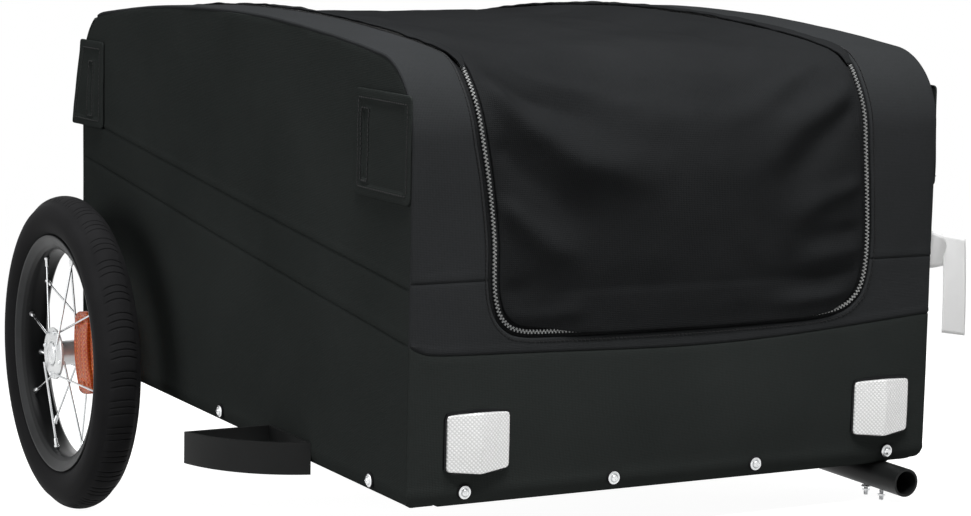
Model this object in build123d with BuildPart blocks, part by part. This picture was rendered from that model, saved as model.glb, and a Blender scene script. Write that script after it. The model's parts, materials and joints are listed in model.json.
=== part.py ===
from build123d import *
from math import asin, atan2, cos, degrees, hypot, pi, radians, sin
import os

# Bicycle cargo trailer, in millimetres. It is drawn level, as it rolls: +X is forward,
# +Y is its own left, Z = 0 is the floor and X = 0 is the front face of the box.
# At the end every piece is turned together into the way it parks, nose down on the tow tube.

# Box: fabric walls over a tube frame
box_length = 724.0
box_width = 491.6
box_floor_height = 125.7          # underside of the box above the floor
wall = 4.0
corner_height = 340.0             # where the front and rear lines would meet the top, unrounded
crown_rise = 25.5                 # of the arched top, above the corner height
front_corner_radius = 65.0
rear_corner_radius = 60.0
seat_gap = 0.3                    # between pieces that rest on each other

# Cover that zips into the top and the front
cover_thickness = 3.0
cover_half_width = 181.0
cover_bottom = 127.0              # its lower edge on the front, above the box's underside
cover_corner_radius = 28.0
rear_lip = 40.0                   # from the rear face to the cover's sewn rear edge
zip_gap = 7.0                     # between cover and wall, where the zip runs
zip_tape_width = 3.2
zip_tape_thickness = 2.4
fold_gap = 4.0                    # at the sewn edge, where the cover folds

# Frame
rail_diameter = 20.0
hem_length = 34.0                 # of the wall cloth, turned in under the rails
floor_thickness = 5.0
hoop_diameter = 16.0
crossbar_inset = 78.0             # crossbars, from the front and rear faces

# Tow tube under the left side
tow_tube_diameter = 24.0
tow_tube_bore = 20.0
tow_tube_reach = 30.0             # of its open end, ahead of the front face
tow_tube_length = 430.0
tow_tube_inset = 39.0             # of its axis, from the left side
tow_screw_diameter = 4.0
tow_screw_setbacks = (33.0, 55.0)  # behind the open end
tow_screw_drop = 9.5              # of the screw ends, below the tube
tow_screw_tip_gap = 0.3           # of the backed-out tips, short of the bore
tow_screw_clearance = 0.1
tow_nut_diameter = 6.4
tow_nut_height = 1.8
tow_nut_drop = 3.5                # of the nut's top, below the tube
tow_saddle_length = 24.0
tow_saddle_thickness = 3.0
tow_saddle_inset = 30.0           # of its middle, ahead of the tube's rear end

# Wheels
wheel_diameter = 300.0
tyre_section = 42.4
axle_inset = 102.0                # ahead of the rear face
wheel_offset = 50.0               # of the wheel's middle plane, outside the box
rim_lip_radius = 113.0
rim_width = 34.0
rim_wall = 1.8
rim_well_radius = 103.0
rim_inner_radius = 100.0
bead_gap = 0.3
hub_flange_radius = 25.0
hub_flange_offset = 16.0
hub_flange_thickness = 3.0
hub_barrel_radius = 13.0
hub_outer_end = 18.0              # outboard of the wheel's middle plane
hub_inner_end = 29.0              # inboard of it
spoke_count = 16
spoke_diameter = 2.0
spoke_circle_radius = 21.0
spoke_rim_offset = 5.0
spoke_lead = 45.0                 # degrees that a spoke's rim end leads its hub end
spoke_lift = 1.1                  # that brings the outer spokes clear over the flange's edge
spoke_end_gap = 0.6
spoke_reflector_height = 78.0
spoke_reflector_width = 34.0
spoke_reflector_thickness = 13.0
spoke_reflector_reach = 48.0
wheel_turn = 9.0                  # degrees, of the parked wheels' spokes about the axle
axle_diameter = 12.0
axle_clearance = 0.05
axle_button_diameter = 21.0
axle_button_height = 2.4

# Axle brackets on the sides
bracket_length = 64.0
bracket_height = 42.0
bracket_thickness = 4.0
boss_diameter = 22.0
boss_gap = 1.5                    # between the boss and the hub

# Guards that keep the wheels from catching
guard_front = 178.0               # setbacks from the front face
guard_rear = 260.0
guard_reach = 79.0
guard_height = 27.0
guard_drop = 9.0                  # below the box's underside
guard_thickness = 3.0

# Reflectors, tabs and tag
reflector_width = 55.0
reflector_height = 44.0
reflector_base = 3.0
reflector_ridge = 11.0
reflector_bottom = 27.0
right_reflector_inset = 59.0      # of their middles, from the side of the box
left_reflector_inset = 48.0
rear_reflector_inset = 56.0
rear_reflector_thickness = 7.0
tab_bottom = 234.0
tab_height = 84.0
tab_thickness = 3.0
tab_corner_radius = 4.0
front_tab_length = 98.0
rear_tab_length = 61.0
rear_tab_flare = 22.0
tag_width = 24.0
tag_bottom = 108.0
tag_top = 190.0
tag_standoff = 20.0
tag_setback = 9.0
tag_thickness = 1.2
tag_ribbon_height = 26.0

os.makedirs("parts", exist_ok=True)

side_y = box_width / 2
crown_height = corner_height + crown_rise
cover_rear_setback = box_length - rear_lip
axle_setback = box_length - axle_inset
wheel_radius = wheel_diameter / 2
axle_x = -axle_setback
axle_z = wheel_radius
wheel_y = side_y + wheel_offset
floor_z = box_floor_height
inner_y = side_y - wall
rail_z = floor_z + wall + seat_gap + rail_diameter / 2
rail_y = inner_y - seat_gap - rail_diameter / 2
board_z = rail_z + rail_diameter / 2 + seat_gap
hem_radius = wall + seat_gap + rail_diameter / 2
board_top = board_z + floor_thickness
hoop_inset = wall + seat_gap + hoop_diameter / 2
hoop_y = inner_y - seat_gap - hoop_diameter / 2
tow_y = side_y - tow_tube_inset
tow_z = floor_z - tow_tube_diameter / 2 - seat_gap
sides = {"right": -1, "left": 1}


def side_outline(inset, bottom, hemmed=False):
    """Face of the box seen from the side, moved in by inset, down to the height bottom.

    Its lower corners turn round the frame where hemmed is set."""
    low = floor_z + corner_height - inset
    high = floor_z + crown_height - inset
    with BuildSketch(Plane.XZ) as outline:
        with BuildLine():
            arch = ThreePointArc((-inset, low), (-box_length / 2, high), (inset - box_length, low))
            Polyline(arch @ 1, (inset - box_length, bottom), (-inset, bottom), arch @ 0)
        make_face()
        for place, radius in ((-1, front_corner_radius), (0, rear_corner_radius)):
            corner = outline.vertices().filter_by(lambda v: v.Y > low - 1).sort_by(Axis.X)[place]
            fillet(corner, radius - inset)
        if hemmed:
            fillet(outline.vertices().group_by(Axis.Y)[0], hem_radius - inset)
    return outline.sketch_local


def wall_band(thickness):
    """Section of the wall that runs up the front, over the top and down the rear, with its hems."""
    with BuildSketch(Plane.XZ) as band:
        add(side_outline(0, floor_z, hemmed=True))
        add(side_outline(thickness, floor_z + thickness, hemmed=True), mode=Mode.SUBTRACT)
        with Locations((-box_length / 2, floor_z)):
            Rectangle(box_length - 2 * hem_length, 4 * wall, mode=Mode.SUBTRACT)
    return band.sketch_local


def cover_opening(grow):
    """Opening for the cover seen from the front, grown all round."""
    half = cover_half_width + grow
    bottom = floor_z + cover_bottom - grow
    top = floor_z + crown_height + 2 * wall
    with BuildSketch(Plane.YZ) as opening:
        with Locations((0, (bottom + top) / 2)):
            Rectangle(2 * half, top - bottom)
        fillet(opening.vertices().group_by(Axis.Y)[0], cover_corner_radius + grow)
    return opening.sketch_local


def arch_height(x, inset):
    """Height of the arched top at x, for the outline moved in by inset."""
    half = box_length / 2 - inset
    radius = (half**2 + crown_rise**2) / (2 * crown_rise)
    return floor_z + crown_height - inset - radius + (radius**2 - (x + box_length / 2) ** 2) ** 0.5


pieces = {}


def hem_section(sign):
    """Section of a side wall seen from the front, with its hem turned in under the rail."""
    inward = (Align.MAX if sign > 0 else Align.MIN, Align.MIN)
    with BuildSketch(Plane.YZ) as section:
        with Locations((sign * side_y, floor_z)):
            Rectangle(hem_length, 2 * crown_height, align=inward)
        with Locations((sign * inner_y, floor_z + wall)):
            Rectangle(hem_length, 2 * crown_height, align=inward, mode=Mode.SUBTRACT)
        fillet(section.vertices().sort_by_distance((sign * side_y, floor_z))[0], hem_radius)
        fillet(section.vertices().sort_by_distance((sign * inner_y, floor_z + wall))[0], hem_radius - wall)
    return section.sketch_local


def between_sides():
    """Space between the side walls and between their hems, seen from the front."""
    low_centre = (Align.CENTER, Align.MIN)
    with BuildSketch(Plane.YZ) as space:
        with Locations((0, floor_z + wall)):
            Rectangle(2 * inner_y, 2 * crown_height, align=low_centre)
        fillet(space.vertices().group_by(Axis.Y)[0], hem_radius - wall)
        with Locations((0, floor_z)):
            Rectangle(2 * (side_y - hem_length - seat_gap), 2 * crown_height, align=low_centre)
    return space.sketch_local


# Side walls, each in one piece with its arched top and its hem
for side, sign in sides.items():
    with BuildPart() as side_wall:
        with BuildSketch(Plane.YZ):
            add(hem_section(sign))
        extrude(amount=-box_length)
        with BuildSketch(Plane.XZ):
            add(side_outline(0, floor_z, hemmed=True))
        extrude(amount=box_width, both=True, mode=Mode.INTERSECT)
    pieces[f"side_wall_{side}"] = side_wall


def folded_wall(thickness):
    """The whole front, top and rear, in one layer between the side walls."""
    with BuildPart() as layer:
        with BuildSketch(Plane.XZ):
            add(wall_band(thickness))
        extrude(amount=box_width, both=True)
        with BuildSketch(Plane.YZ):
            add(between_sides())
        extrude(amount=2 * box_length, both=True, mode=Mode.INTERSECT)
    return layer.part


# Front and rear walls and the bands beside the cover
band_bottom = floor_z + cover_bottom - zip_gap
rear_edge = -cover_rear_setback - fold_gap
with BuildPart() as front_wall:
    add(folded_wall(wall))
    split(bisect_by=Plane.XY.offset(band_bottom), keep=Keep.BOTTOM)
    split(bisect_by=Plane.YZ.offset(-box_length / 2), keep=Keep.TOP)
pieces["front_wall"] = front_wall

for side, sign in sides.items():
    with BuildPart() as band:
        add(folded_wall(wall))
        split(bisect_by=Plane.XY.offset(band_bottom), keep=Keep.TOP)
        split(bisect_by=Plane.YZ.offset(rear_edge), keep=Keep.TOP)
        with BuildSketch(Plane.YZ.offset(rear_edge)):
            add(cover_opening(zip_gap))
        extrude(amount=2 * box_length, mode=Mode.SUBTRACT)
        split(bisect_by=Plane.XZ, keep=Keep.BOTTOM if sign > 0 else Keep.TOP)
    pieces[f"top_band_{side}"] = band

with BuildPart() as rear_wall:
    add(folded_wall(wall))
    split(bisect_by=Plane.YZ.offset(rear_edge), keep=Keep.BOTTOM)
pieces["rear_wall"] = rear_wall


def cover_layer(thickness, inner_grow, outer_grow):
    """Layer of the cover between two outlines of its opening."""
    with BuildPart() as layer:
        add(folded_wall(thickness))
        with BuildSketch(Plane.YZ.offset(-cover_rear_setback)):
            add(cover_opening(outer_grow))
            if inner_grow is not None:
                add(cover_opening(inner_grow), mode=Mode.SUBTRACT)
        extrude(amount=2 * box_length, mode=Mode.INTERSECT)
    return layer


# Cover, and the two halves of its zip
pieces["cover"] = cover_layer(cover_thickness, None, 0)
pieces["zip_cover_side"] = cover_layer(zip_tape_thickness, seat_gap, seat_gap + zip_tape_width)
pieces["zip_wall_side"] = cover_layer(zip_tape_thickness, zip_gap - zip_tape_width, zip_gap)

# Base frame, with its rails standing in the lower hem of the walls
rail_front = -wall - seat_gap
rail_rear = -box_length + wall + seat_gap
front_cross_x = rail_front - rail_diameter / 2
rear_cross_x = rail_rear + rail_diameter / 2
cross_length = 2 * (rail_y - rail_diameter / 2 - seat_gap)


def cross_bar(x, z, length, diameter):
    """Bar across the trailer."""
    with BuildPart() as bar:
        with BuildSketch(Plane((x, 0, z), x_dir=(1, 0, 0), z_dir=(0, 1, 0))):
            Circle(diameter / 2)
        extrude(amount=length / 2, both=True)
    return bar


for side, sign in sides.items():
    with BuildPart() as rail:
        with BuildSketch(Plane((rear_cross_x, sign * rail_y, rail_z), x_dir=(0, 1, 0), z_dir=(1, 0, 0))):
            Circle(rail_diameter / 2)
        extrude(amount=front_cross_x - rear_cross_x)
    pieces[f"base_rail_{side}"] = rail

saddle_x = tow_tube_reach - tow_tube_length + tow_saddle_inset
cross_places = {
    "front": front_cross_x,
    "middle": saddle_x,
    "axle": axle_x,
    "rear": rear_cross_x,
}
for place, x in cross_places.items():
    pieces[f"base_cross_{place}"] = cross_bar(x, rail_z, cross_length, rail_diameter)

with BuildPart() as floor_board:
    with BuildSketch(Plane.XY.offset(board_z)):
        with Locations((-box_length / 2, 0)):
            Rectangle(rail_front - rail_rear, 2 * (inner_y - seat_gap))
    extrude(amount=floor_thickness)
pieces["floor_board"] = floor_board

# Hoops inside the side walls, and the bars between them
for side, sign in sides.items():
    with BuildPart() as hoop:
        with BuildSketch(Plane.XZ.offset(-sign * (inner_y - seat_gap))):
            add(side_outline(wall + seat_gap, board_top + seat_gap))
            add(side_outline(wall + seat_gap + hoop_diameter, board_top - hoop_diameter), mode=Mode.SUBTRACT)
        extrude(amount=sign * hoop_diameter)
        tube_edges = hoop.edges().filter_by(Plane.XZ)
        chamfer([e for e in tube_edges if e.length > hoop_diameter * 1.5], hoop_diameter * 0.29)
    pieces[f"hoop_{side}"] = hoop

crossbar_z = arch_height(-crossbar_inset, wall) - seat_gap - hoop_diameter / 2 - seat_gap
crossbar_length = 2 * (hoop_y - hoop_diameter / 2 - seat_gap)
for place, x in {"front": -crossbar_inset, "rear": crossbar_inset - box_length}.items():
    pieces[f"crossbar_{place}"] = cross_bar(x, crossbar_z, crossbar_length, hoop_diameter)

# Tow tube, with the two screws that clamp a drawbar in it, backed out clear of its bore
tow_mouth = Plane((tow_tube_reach, tow_y, tow_z), x_dir=(0, 1, 0), z_dir=(1, 0, 0))
screw_places = [(tow_tube_reach - setback, tow_y) for setback in tow_screw_setbacks]
with BuildPart() as tow_tube:
    with BuildSketch(tow_mouth):
        Circle(tow_tube_diameter / 2)
        Circle(tow_tube_bore / 2, mode=Mode.SUBTRACT)
    extrude(amount=-tow_tube_length)
    with BuildSketch(Plane.XY.offset(tow_z - tow_tube_diameter)):
        with Locations(*screw_places):
            Circle(tow_screw_diameter / 2 + tow_screw_clearance)
    extrude(amount=tow_tube_diameter, mode=Mode.SUBTRACT)
pieces["tow_tube"] = tow_tube

tube_bottom = tow_z - tow_tube_diameter / 2
screw_bottom = tube_bottom - tow_screw_drop
screw_top = tow_z - tow_tube_bore / 2 - tow_screw_tip_gap
for place, spot in zip(("front", "rear"), screw_places):
    with BuildPart() as screw:
        with BuildSketch(Plane.XY.offset(screw_bottom)):
            with Locations(spot):
                Circle(tow_screw_diameter / 2)
        extrude(amount=screw_top - screw_bottom)
        with BuildSketch(Plane.XY.offset(tube_bottom - tow_nut_drop)):
            with Locations(spot):
                Circle(tow_nut_diameter / 2)
        extrude(amount=-tow_nut_height)
    pieces[f"tow_screw_{place}"] = screw

saddle_inner = tow_tube_diameter / 2 + seat_gap
saddle_outer = saddle_inner + tow_saddle_thickness
with BuildPart() as tow_saddle:
    with BuildSketch(Plane((saddle_x - tow_saddle_length / 2, tow_y, tow_z), x_dir=(0, 1, 0), z_dir=(1, 0, 0))) as section:
        Circle(saddle_outer)
        with Locations((0, saddle_inner / 2)):
            Rectangle(2 * saddle_outer, saddle_inner)
        Circle(saddle_inner, mode=Mode.SUBTRACT)
        with Locations((0, saddle_inner / 2)):
            Rectangle(2 * saddle_inner, saddle_inner, mode=Mode.SUBTRACT)
        with Locations((0, saddle_inner + saddle_outer)):
            Rectangle(4 * saddle_outer, 2 * saddle_outer, mode=Mode.SUBTRACT)
    extrude(amount=tow_saddle_length)
pieces["tow_saddle"] = tow_saddle

# Axle brackets, with a boss each for the axle pin
for side, sign in sides.items():
    out = (0, sign, 0)
    boss_end = wheel_offset - hub_inner_end - boss_gap
    with BuildPart() as bracket:
        plate = Plane((axle_x, sign * side_y, floor_z + bracket_height / 2), x_dir=(1, 0, 0), z_dir=out)
        with BuildSketch(plate):
            RectangleRounded(bracket_length, bracket_height, 6)
        extrude(amount=bracket_thickness)
        axle_plane = Plane((axle_x, sign * side_y, axle_z), x_dir=(1, 0, 0), z_dir=out)
        with BuildSketch(axle_plane):
            Circle(boss_diameter / 2)
        extrude(amount=boss_end)
        with BuildSketch(axle_plane):
            Circle(axle_diameter / 2 + axle_clearance)
        extrude(amount=boss_end, mode=Mode.SUBTRACT)
    pieces[f"axle_bracket_{side}"] = bracket

    # Axle pin with the push button that frees the wheel
    with BuildPart() as axle_pin:
        with BuildSketch(axle_plane):
            Circle(axle_diameter / 2)
        extrude(amount=wheel_offset + hub_outer_end + seat_gap)
        with BuildSketch(axle_plane.offset(wheel_offset + hub_outer_end + seat_gap)):
            Circle(axle_button_diameter / 2)
        extrude(amount=axle_button_height)
        button_rim = axle_pin.faces().sort_by(Axis.Y)[-1 if sign > 0 else 0].edges()
        fillet(button_rim, axle_button_height * 0.6)
    pieces[f"axle_pin_{side}"] = axle_pin


def spoke(start, end):
    """Straight wire between two points."""
    along = Vector(*end) - Vector(*start)
    with BuildPart() as wire:
        with BuildSketch(Plane(start, z_dir=along)):
            Circle(spoke_diameter / 2)
        extrude(amount=along.length)
    return wire.part


# Wheels, drawn about the axle with local Z pointing outboard
spokes_forward = (cos(radians(wheel_turn)), 0, sin(radians(wheel_turn)))
for side, sign in sides.items():
    middle = Plane((axle_x, sign * wheel_y, axle_z), x_dir=spokes_forward, z_dir=(0, sign, 0))
    section_plane = Plane((axle_x, sign * wheel_y, axle_z), x_dir=(1, 0, 0), z_dir=(0, 0, -sign))
    axis = Axis((axle_x, sign * wheel_y, axle_z), (0, 1, 0))
    tyre_radius = tyre_section / 2
    with BuildPart() as tyre:
        with BuildSketch(section_plane):
            with Locations((wheel_radius - tyre_radius, 0)):
                Circle(tyre_radius)
            bead_inner = rim_well_radius + bead_gap
            bead_outer = wheel_radius - tyre_radius
            with Locations(((bead_inner + bead_outer) / 2, 0)):
                Rectangle(bead_outer - bead_inner, rim_width - 2 * rim_wall - 2 * bead_gap)
        revolve(axis=axis)
    pieces[f"tyre_{side}"] = tyre

    with BuildPart() as rim:
        with BuildSketch(section_plane):
            with Locations(((rim_inner_radius + rim_lip_radius) / 2, 0)):
                Rectangle(rim_lip_radius - rim_inner_radius, rim_width)
            with Locations(((rim_well_radius + rim_lip_radius) / 2, 0)):
                Rectangle(rim_lip_radius - rim_well_radius, rim_width - 2 * rim_wall, mode=Mode.SUBTRACT)
        revolve(axis=axis)
    pieces[f"rim_{side}"] = rim

    with BuildPart() as hub:
        with BuildSketch(middle.offset(-hub_inner_end)):
            Circle(hub_barrel_radius)
        extrude(amount=hub_inner_end + hub_outer_end)
        for flange in (-hub_flange_offset, hub_flange_offset):
            with BuildSketch(middle.offset(flange - hub_flange_thickness / 2)):
                Circle(hub_flange_radius)
            extrude(amount=hub_flange_thickness)
        with BuildSketch(middle.offset(-hub_inner_end)):
            Circle(axle_diameter / 2 + axle_clearance)
        extrude(amount=hub_inner_end + hub_outer_end, mode=Mode.SUBTRACT)
    pieces[f"hub_{side}"] = hub

    spokes = []
    for number in range(spoke_count):
        flange_side = 1 if number % 2 else -1
        lead = 1 if number % 4 < 2 else -1
        skin = (hub_flange_thickness + spoke_diameter) / 2
        skin = skin + spoke_lift if lead > 0 else -skin - seat_gap
        hub_end = 360 * number / spoke_count
        rim_end = hub_end + lead * spoke_lead
        start = (
            spoke_circle_radius * cos(radians(hub_end)),
            spoke_circle_radius * sin(radians(hub_end)),
            flange_side * (hub_flange_offset + skin),
        )
        rim_reach = rim_inner_radius - spoke_end_gap
        end = (rim_reach * cos(radians(rim_end)), rim_reach * sin(radians(rim_end)), flange_side * spoke_rim_offset)
        spokes.append(spoke(middle.from_local_coords(Vector(*start)), middle.from_local_coords(Vector(*end))))
    with BuildPart() as spoke_set:
        for wire in spokes:
            add(wire)
    pieces[f"spokes_{side}"] = spoke_set

    with BuildPart() as spoke_reflector:
        with BuildSketch(middle.offset(-spoke_reflector_thickness / 2)):
            with Locations((spoke_reflector_reach, 0)):
                RectangleRounded(spoke_reflector_width, spoke_reflector_height, 9)
        extrude(amount=spoke_reflector_thickness)
    pieces[f"spoke_reflector_{side}"] = spoke_reflector

# Guards, flat bar bent round and fixed to the side
for side, sign in sides.items():
    start = (-guard_front, sign * side_y)
    bend = (-guard_front - 0.36 * (guard_rear - guard_front), sign * (side_y + 0.63 * guard_reach))
    tip = (-guard_rear, sign * (side_y + guard_reach))
    with BuildPart() as guard:
        with BuildSketch(Plane.XY.offset(floor_z - guard_drop)) as loop:
            with BuildLine():
                ThreePointArc(start, bend, tip)
                Line(tip, (-guard_rear, sign * side_y))
                Line((-guard_rear, sign * side_y), start)
            make_face()
            offset(amount=-guard_thickness, mode=Mode.SUBTRACT)
        extrude(amount=guard_height)
    pieces[f"wheel_guard_{side}"] = guard

# Reflectors on the front and the rear
for side, y in {"right": right_reflector_inset - side_y, "left": side_y - left_reflector_inset}.items():
    low = floor_z + reflector_bottom
    with BuildPart() as reflector:
        with BuildSketch(Plane.XY.offset(low)):
            with BuildLine():
                Polyline(
                    (0, y - reflector_width / 2),
                    (reflector_base, y - reflector_width / 2),
                    (reflector_ridge, y),
                    (reflector_base, y + reflector_width / 2),
                    (0, y + reflector_width / 2),
                    close=True,
                )
            make_face()
        extrude(amount=reflector_height)
    pieces[f"front_reflector_{side}"] = reflector

for side, sign in sides.items():
    place = (-box_length, sign * (side_y - rear_reflector_inset), floor_z + reflector_bottom + reflector_height / 2)
    with BuildPart() as reflector:
        with BuildSketch(Plane(place, x_dir=(0, 1, 0), z_dir=(-1, 0, 0))):
            RectangleRounded(reflector_width, reflector_height, 5)
        extrude(amount=rear_reflector_thickness)
    pieces[f"rear_reflector_{side}"] = reflector

# Stitched fabric tabs near the corners of the side walls; the rear ones flare out past the corner
for side, sign in sides.items():
    tab_low = floor_z + tab_bottom
    tab_high = tab_low + tab_height
    rear_edge_x = rear_tab_length - box_length
    tabs = {
        "front": ((-front_tab_length, tab_low), (0, tab_low), (0, tab_high), (-front_tab_length, tab_high)),
        "rear": (
            (-box_length - rear_tab_flare, tab_low),
            (rear_edge_x, tab_low),
            (rear_edge_x, tab_high),
            (-box_length, tab_high),
        ),
    }
    for place, corners in tabs.items():
        with BuildPart() as tab:
            with BuildSketch(Plane.XZ.offset(-sign * side_y)) as shape:
                with BuildLine():
                    Polyline(*corners, close=True)
                make_face()
                fillet(shape.vertices(), tab_corner_radius)
            extrude(amount=-sign * tab_thickness)
        pieces[f"{place}_tab_{side}"] = tab

# Blank tag sewn into the left seam
with BuildPart() as tag:
    with BuildSketch(Plane.YZ.offset(-tag_setback)):
        with BuildLine():
            Polyline(
                (side_y, floor_z + tag_top),
                (side_y + tag_standoff + tag_width, floor_z + tag_top - 8),
                (side_y + tag_standoff + tag_width, floor_z + tag_bottom),
                (side_y + tag_standoff, floor_z + tag_bottom),
                (side_y + tag_standoff, floor_z + tag_top - tag_ribbon_height),
                (side_y, floor_z + tag_top - tag_ribbon_height),
                close=True,
            )
        make_face()
    extrude(amount=tag_thickness)
pieces["blank_tag"] = tag


def rest_angle(x, z):
    """Nose-down turn about the axle that brings a point of the nose to the floor."""
    reach = hypot(x - axle_x, z - axle_z)
    return degrees(atan2(z - axle_z, x - axle_x) + asin(wheel_radius / reach))


# Park: turn about the axle until the lowest point of the nose stands on the floor
screw_front = screw_places[0][0] + tow_screw_diameter / 2
park_angle = min(rest_angle(screw_front, screw_bottom), rest_angle(tow_tube_reach, tube_bottom))
park_turn = Pos(axle_x, 0, axle_z) * Rot(0, park_angle, 0) * Pos(-axle_x, 0, -axle_z)
for piece in pieces.values():
    piece.part.move(park_turn)
extent = Compound([piece.part for piece in pieces.values()]).bounding_box()
park_shift = Pos(-extent.center().X, -extent.center().Y, -extent.min.Z)
print("park", park_angle, park_shift.position)

for name, piece in pieces.items():
    piece.part.move(park_shift)
    piece.part.label = name
    export_step(piece.part, f"parts/{name}.step")
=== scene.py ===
import json
from math import atan2, cos, hypot, pi, radians, sin, sqrt

import bmesh
import bpy
import numpy as np
from mathutils import Matrix, Vector, noise

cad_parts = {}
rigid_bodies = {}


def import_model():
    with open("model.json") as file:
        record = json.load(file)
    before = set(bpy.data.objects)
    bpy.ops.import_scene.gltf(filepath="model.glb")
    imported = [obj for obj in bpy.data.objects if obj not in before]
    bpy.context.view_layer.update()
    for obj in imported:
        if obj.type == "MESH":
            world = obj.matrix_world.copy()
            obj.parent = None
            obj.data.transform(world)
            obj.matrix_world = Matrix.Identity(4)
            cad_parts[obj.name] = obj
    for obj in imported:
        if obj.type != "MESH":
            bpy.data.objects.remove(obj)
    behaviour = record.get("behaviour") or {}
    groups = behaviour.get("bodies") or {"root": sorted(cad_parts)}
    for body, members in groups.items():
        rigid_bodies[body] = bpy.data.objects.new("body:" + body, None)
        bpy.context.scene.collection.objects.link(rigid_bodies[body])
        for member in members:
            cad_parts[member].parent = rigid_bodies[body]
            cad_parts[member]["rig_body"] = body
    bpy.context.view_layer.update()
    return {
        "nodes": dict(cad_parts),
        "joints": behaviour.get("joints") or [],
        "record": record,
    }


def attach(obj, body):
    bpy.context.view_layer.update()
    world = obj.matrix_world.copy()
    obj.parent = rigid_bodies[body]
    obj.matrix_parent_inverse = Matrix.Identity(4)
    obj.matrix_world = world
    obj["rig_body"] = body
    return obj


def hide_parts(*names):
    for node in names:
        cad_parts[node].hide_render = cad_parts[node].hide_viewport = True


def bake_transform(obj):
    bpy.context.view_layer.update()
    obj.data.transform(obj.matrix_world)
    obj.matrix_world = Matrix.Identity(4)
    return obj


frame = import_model()
print("frame loaded")

# Everything is shaped as the trailer rolls, level and in metres: x runs forward from the
# front face, y to its own left and z up from the ground. The park matrix then tips it.
nose = frame["record"]["mounts"][0]["axis"]
parkAngle = atan2(-nose[2], nose[0])
axle = {"x": -0.622, "z": 0.15, "wheelY": 0.2958, "turn": radians(9)}
wheelSpin = next(j for j in frame["joints"] if j["name"] == "wheel_right_spin")
park = (
    Matrix.Translation((wheelSpin["pos_m"][0], 0, wheelSpin["pos_m"][2]))
    @ Matrix.Rotation(parkAngle, 4, "Y")
    @ Matrix.Translation((-axle["x"], 0, -axle["z"]))
)
sides = {"right": -1, "left": 1}


# Points given in millimetres, in metres
def mm(points):
    return np.array(points) / 1000


# Camera, lamps and ground


def addObject(name, data):
    thing = bpy.data.objects.new(name, data)
    bpy.context.scene.collection.objects.link(thing)
    return thing


def toMesh(bm, name):
    mesh = bpy.data.meshes.new(name)
    bm.to_mesh(mesh)
    bm.free()
    return mesh


view = {
    "place": (1.8084, -1.1643, 0.6025),
    "yaw": radians(28.497),
    "pitch": radians(7.871),
    "roll": radians(1.251),
    "lens": 100.1,
}


def addCamera():
    look = Vector((
        -cos(view["yaw"]) * cos(view["pitch"]),
        sin(view["yaw"]) * cos(view["pitch"]),
        -sin(view["pitch"]),
    ))
    level = look.cross(Vector((0, 0, 1))).normalized()
    right = cos(view["roll"]) * level + sin(view["roll"]) * level.cross(look)
    turn = Matrix((right, right.cross(look), -look)).transposed().to_4x4()
    data = bpy.data.cameras.new("camera")
    data.lens = view["lens"]
    data.sensor_width = 36
    data.clip_end = 50
    camera = addObject("camera", data)
    camera.matrix_world = park @ Matrix.Translation(view["place"]) @ turn
    bpy.context.scene.camera = camera


# sRGB hex to the linear colour that a shader takes
def linear(code):
    parts = [int(code[i:i + 2], 16) / 255 for i in (1, 3, 5)]
    return tuple(c / 12.92 if c <= 0.04045 else ((c + 0.055) / 1.055) ** 2.4 for c in parts) + (1.0,)


# Adds one node, with its settings and what feeds its sockets
def addNode(tree, kind, settings=None, feeds=None):
    node = tree.nodes.new(kind)
    for name, value in (settings or {}).items():
        setattr(node, name, value)
    for name, value in (feeds or {}).items():
        socket = node.inputs[name]
        if isinstance(value, bpy.types.Node):
            value = value.outputs[0]
        if isinstance(value, bpy.types.NodeSocket):
            tree.links.new(value, socket)
        else:
            socket.default_value = value
    return node


def addMath(tree, operation, *values):
    return addNode(tree, "ShaderNodeMath", {"operation": operation}, dict(enumerate(values))).outputs[0]


def addNoise(tree, place, scale, detail):
    feeds = {"Vector": place, "Scale": scale, "Detail": detail}
    return addNode(tree, "ShaderNodeTexNoise", feeds=feeds).outputs["Fac"]


# Even ridges across X or Y of a map, a given distance apart
def addRidges(tree, place, direction, spacing, distortion=0.0, profile="SIN"):
    settings = {"bands_direction": direction, "wave_profile": profile}
    feeds = {"Vector": place, "Scale": pi / 10 / spacing, "Distortion": distortion}
    return addNode(tree, "ShaderNodeTexWave", settings, feeds).outputs["Fac"]


def addBump(tree, height, strength, distance):
    feeds = {"Height": height, "Strength": strength, "Distance": distance}
    return addNode(tree, "ShaderNodeBump", feeds=feeds).outputs[0]


def startMaterial(name):
    material = bpy.data.materials.new(name)
    material.use_nodes = True
    tree = material.node_tree
    tree.nodes.clear()
    return material, tree


def endMaterial(tree, shader):
    addNode(tree, "ShaderNodeOutputMaterial", feeds={"Surface": shader})


# A principled shader, with more sockets by name, where _ stands for a space
def endPrincipled(tree, feeds, sockets=None):
    more = {name.replace("_", " "): value for name, value in (sockets or {}).items()}
    endMaterial(tree, addNode(tree, "ShaderNodeBsdfPrincipled", feeds={**feeds, **more}))


# Colour stops, as (place, hex)
def addRamp(tree, factor, stops):
    ramp = addNode(tree, "ShaderNodeValToRGB", feeds={"Fac": factor})
    elements = ramp.color_ramp.elements
    while len(elements) < len(stops):
        elements.new(0.5)
    for element, (place, code) in zip(elements, stops):
        element.position = place
        element.color = linear(code)
    return ramp.outputs["Color"]


lamps = {
    "overhead": {"place": (1.1, -0.25, 1.95), "aim": (0.15, 0, 0.4), "size": (1.0, 1.0), "power": 64},
    "front": {"place": (2.6, -0.8, 1.3), "aim": (0, 0, 0.25), "size": (1.6, 1.4), "power": 0.8},
    "side": {"place": (-0.6, -2.6, 0.9), "aim": (0, 0, 0.25), "size": (1.8, 1.4), "power": 20},
    "back": {"place": (-2.4, 1.6, 1.0), "aim": (-0.3, 0, 0.25), "size": (1.8, 1.4), "power": 24},
}


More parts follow.
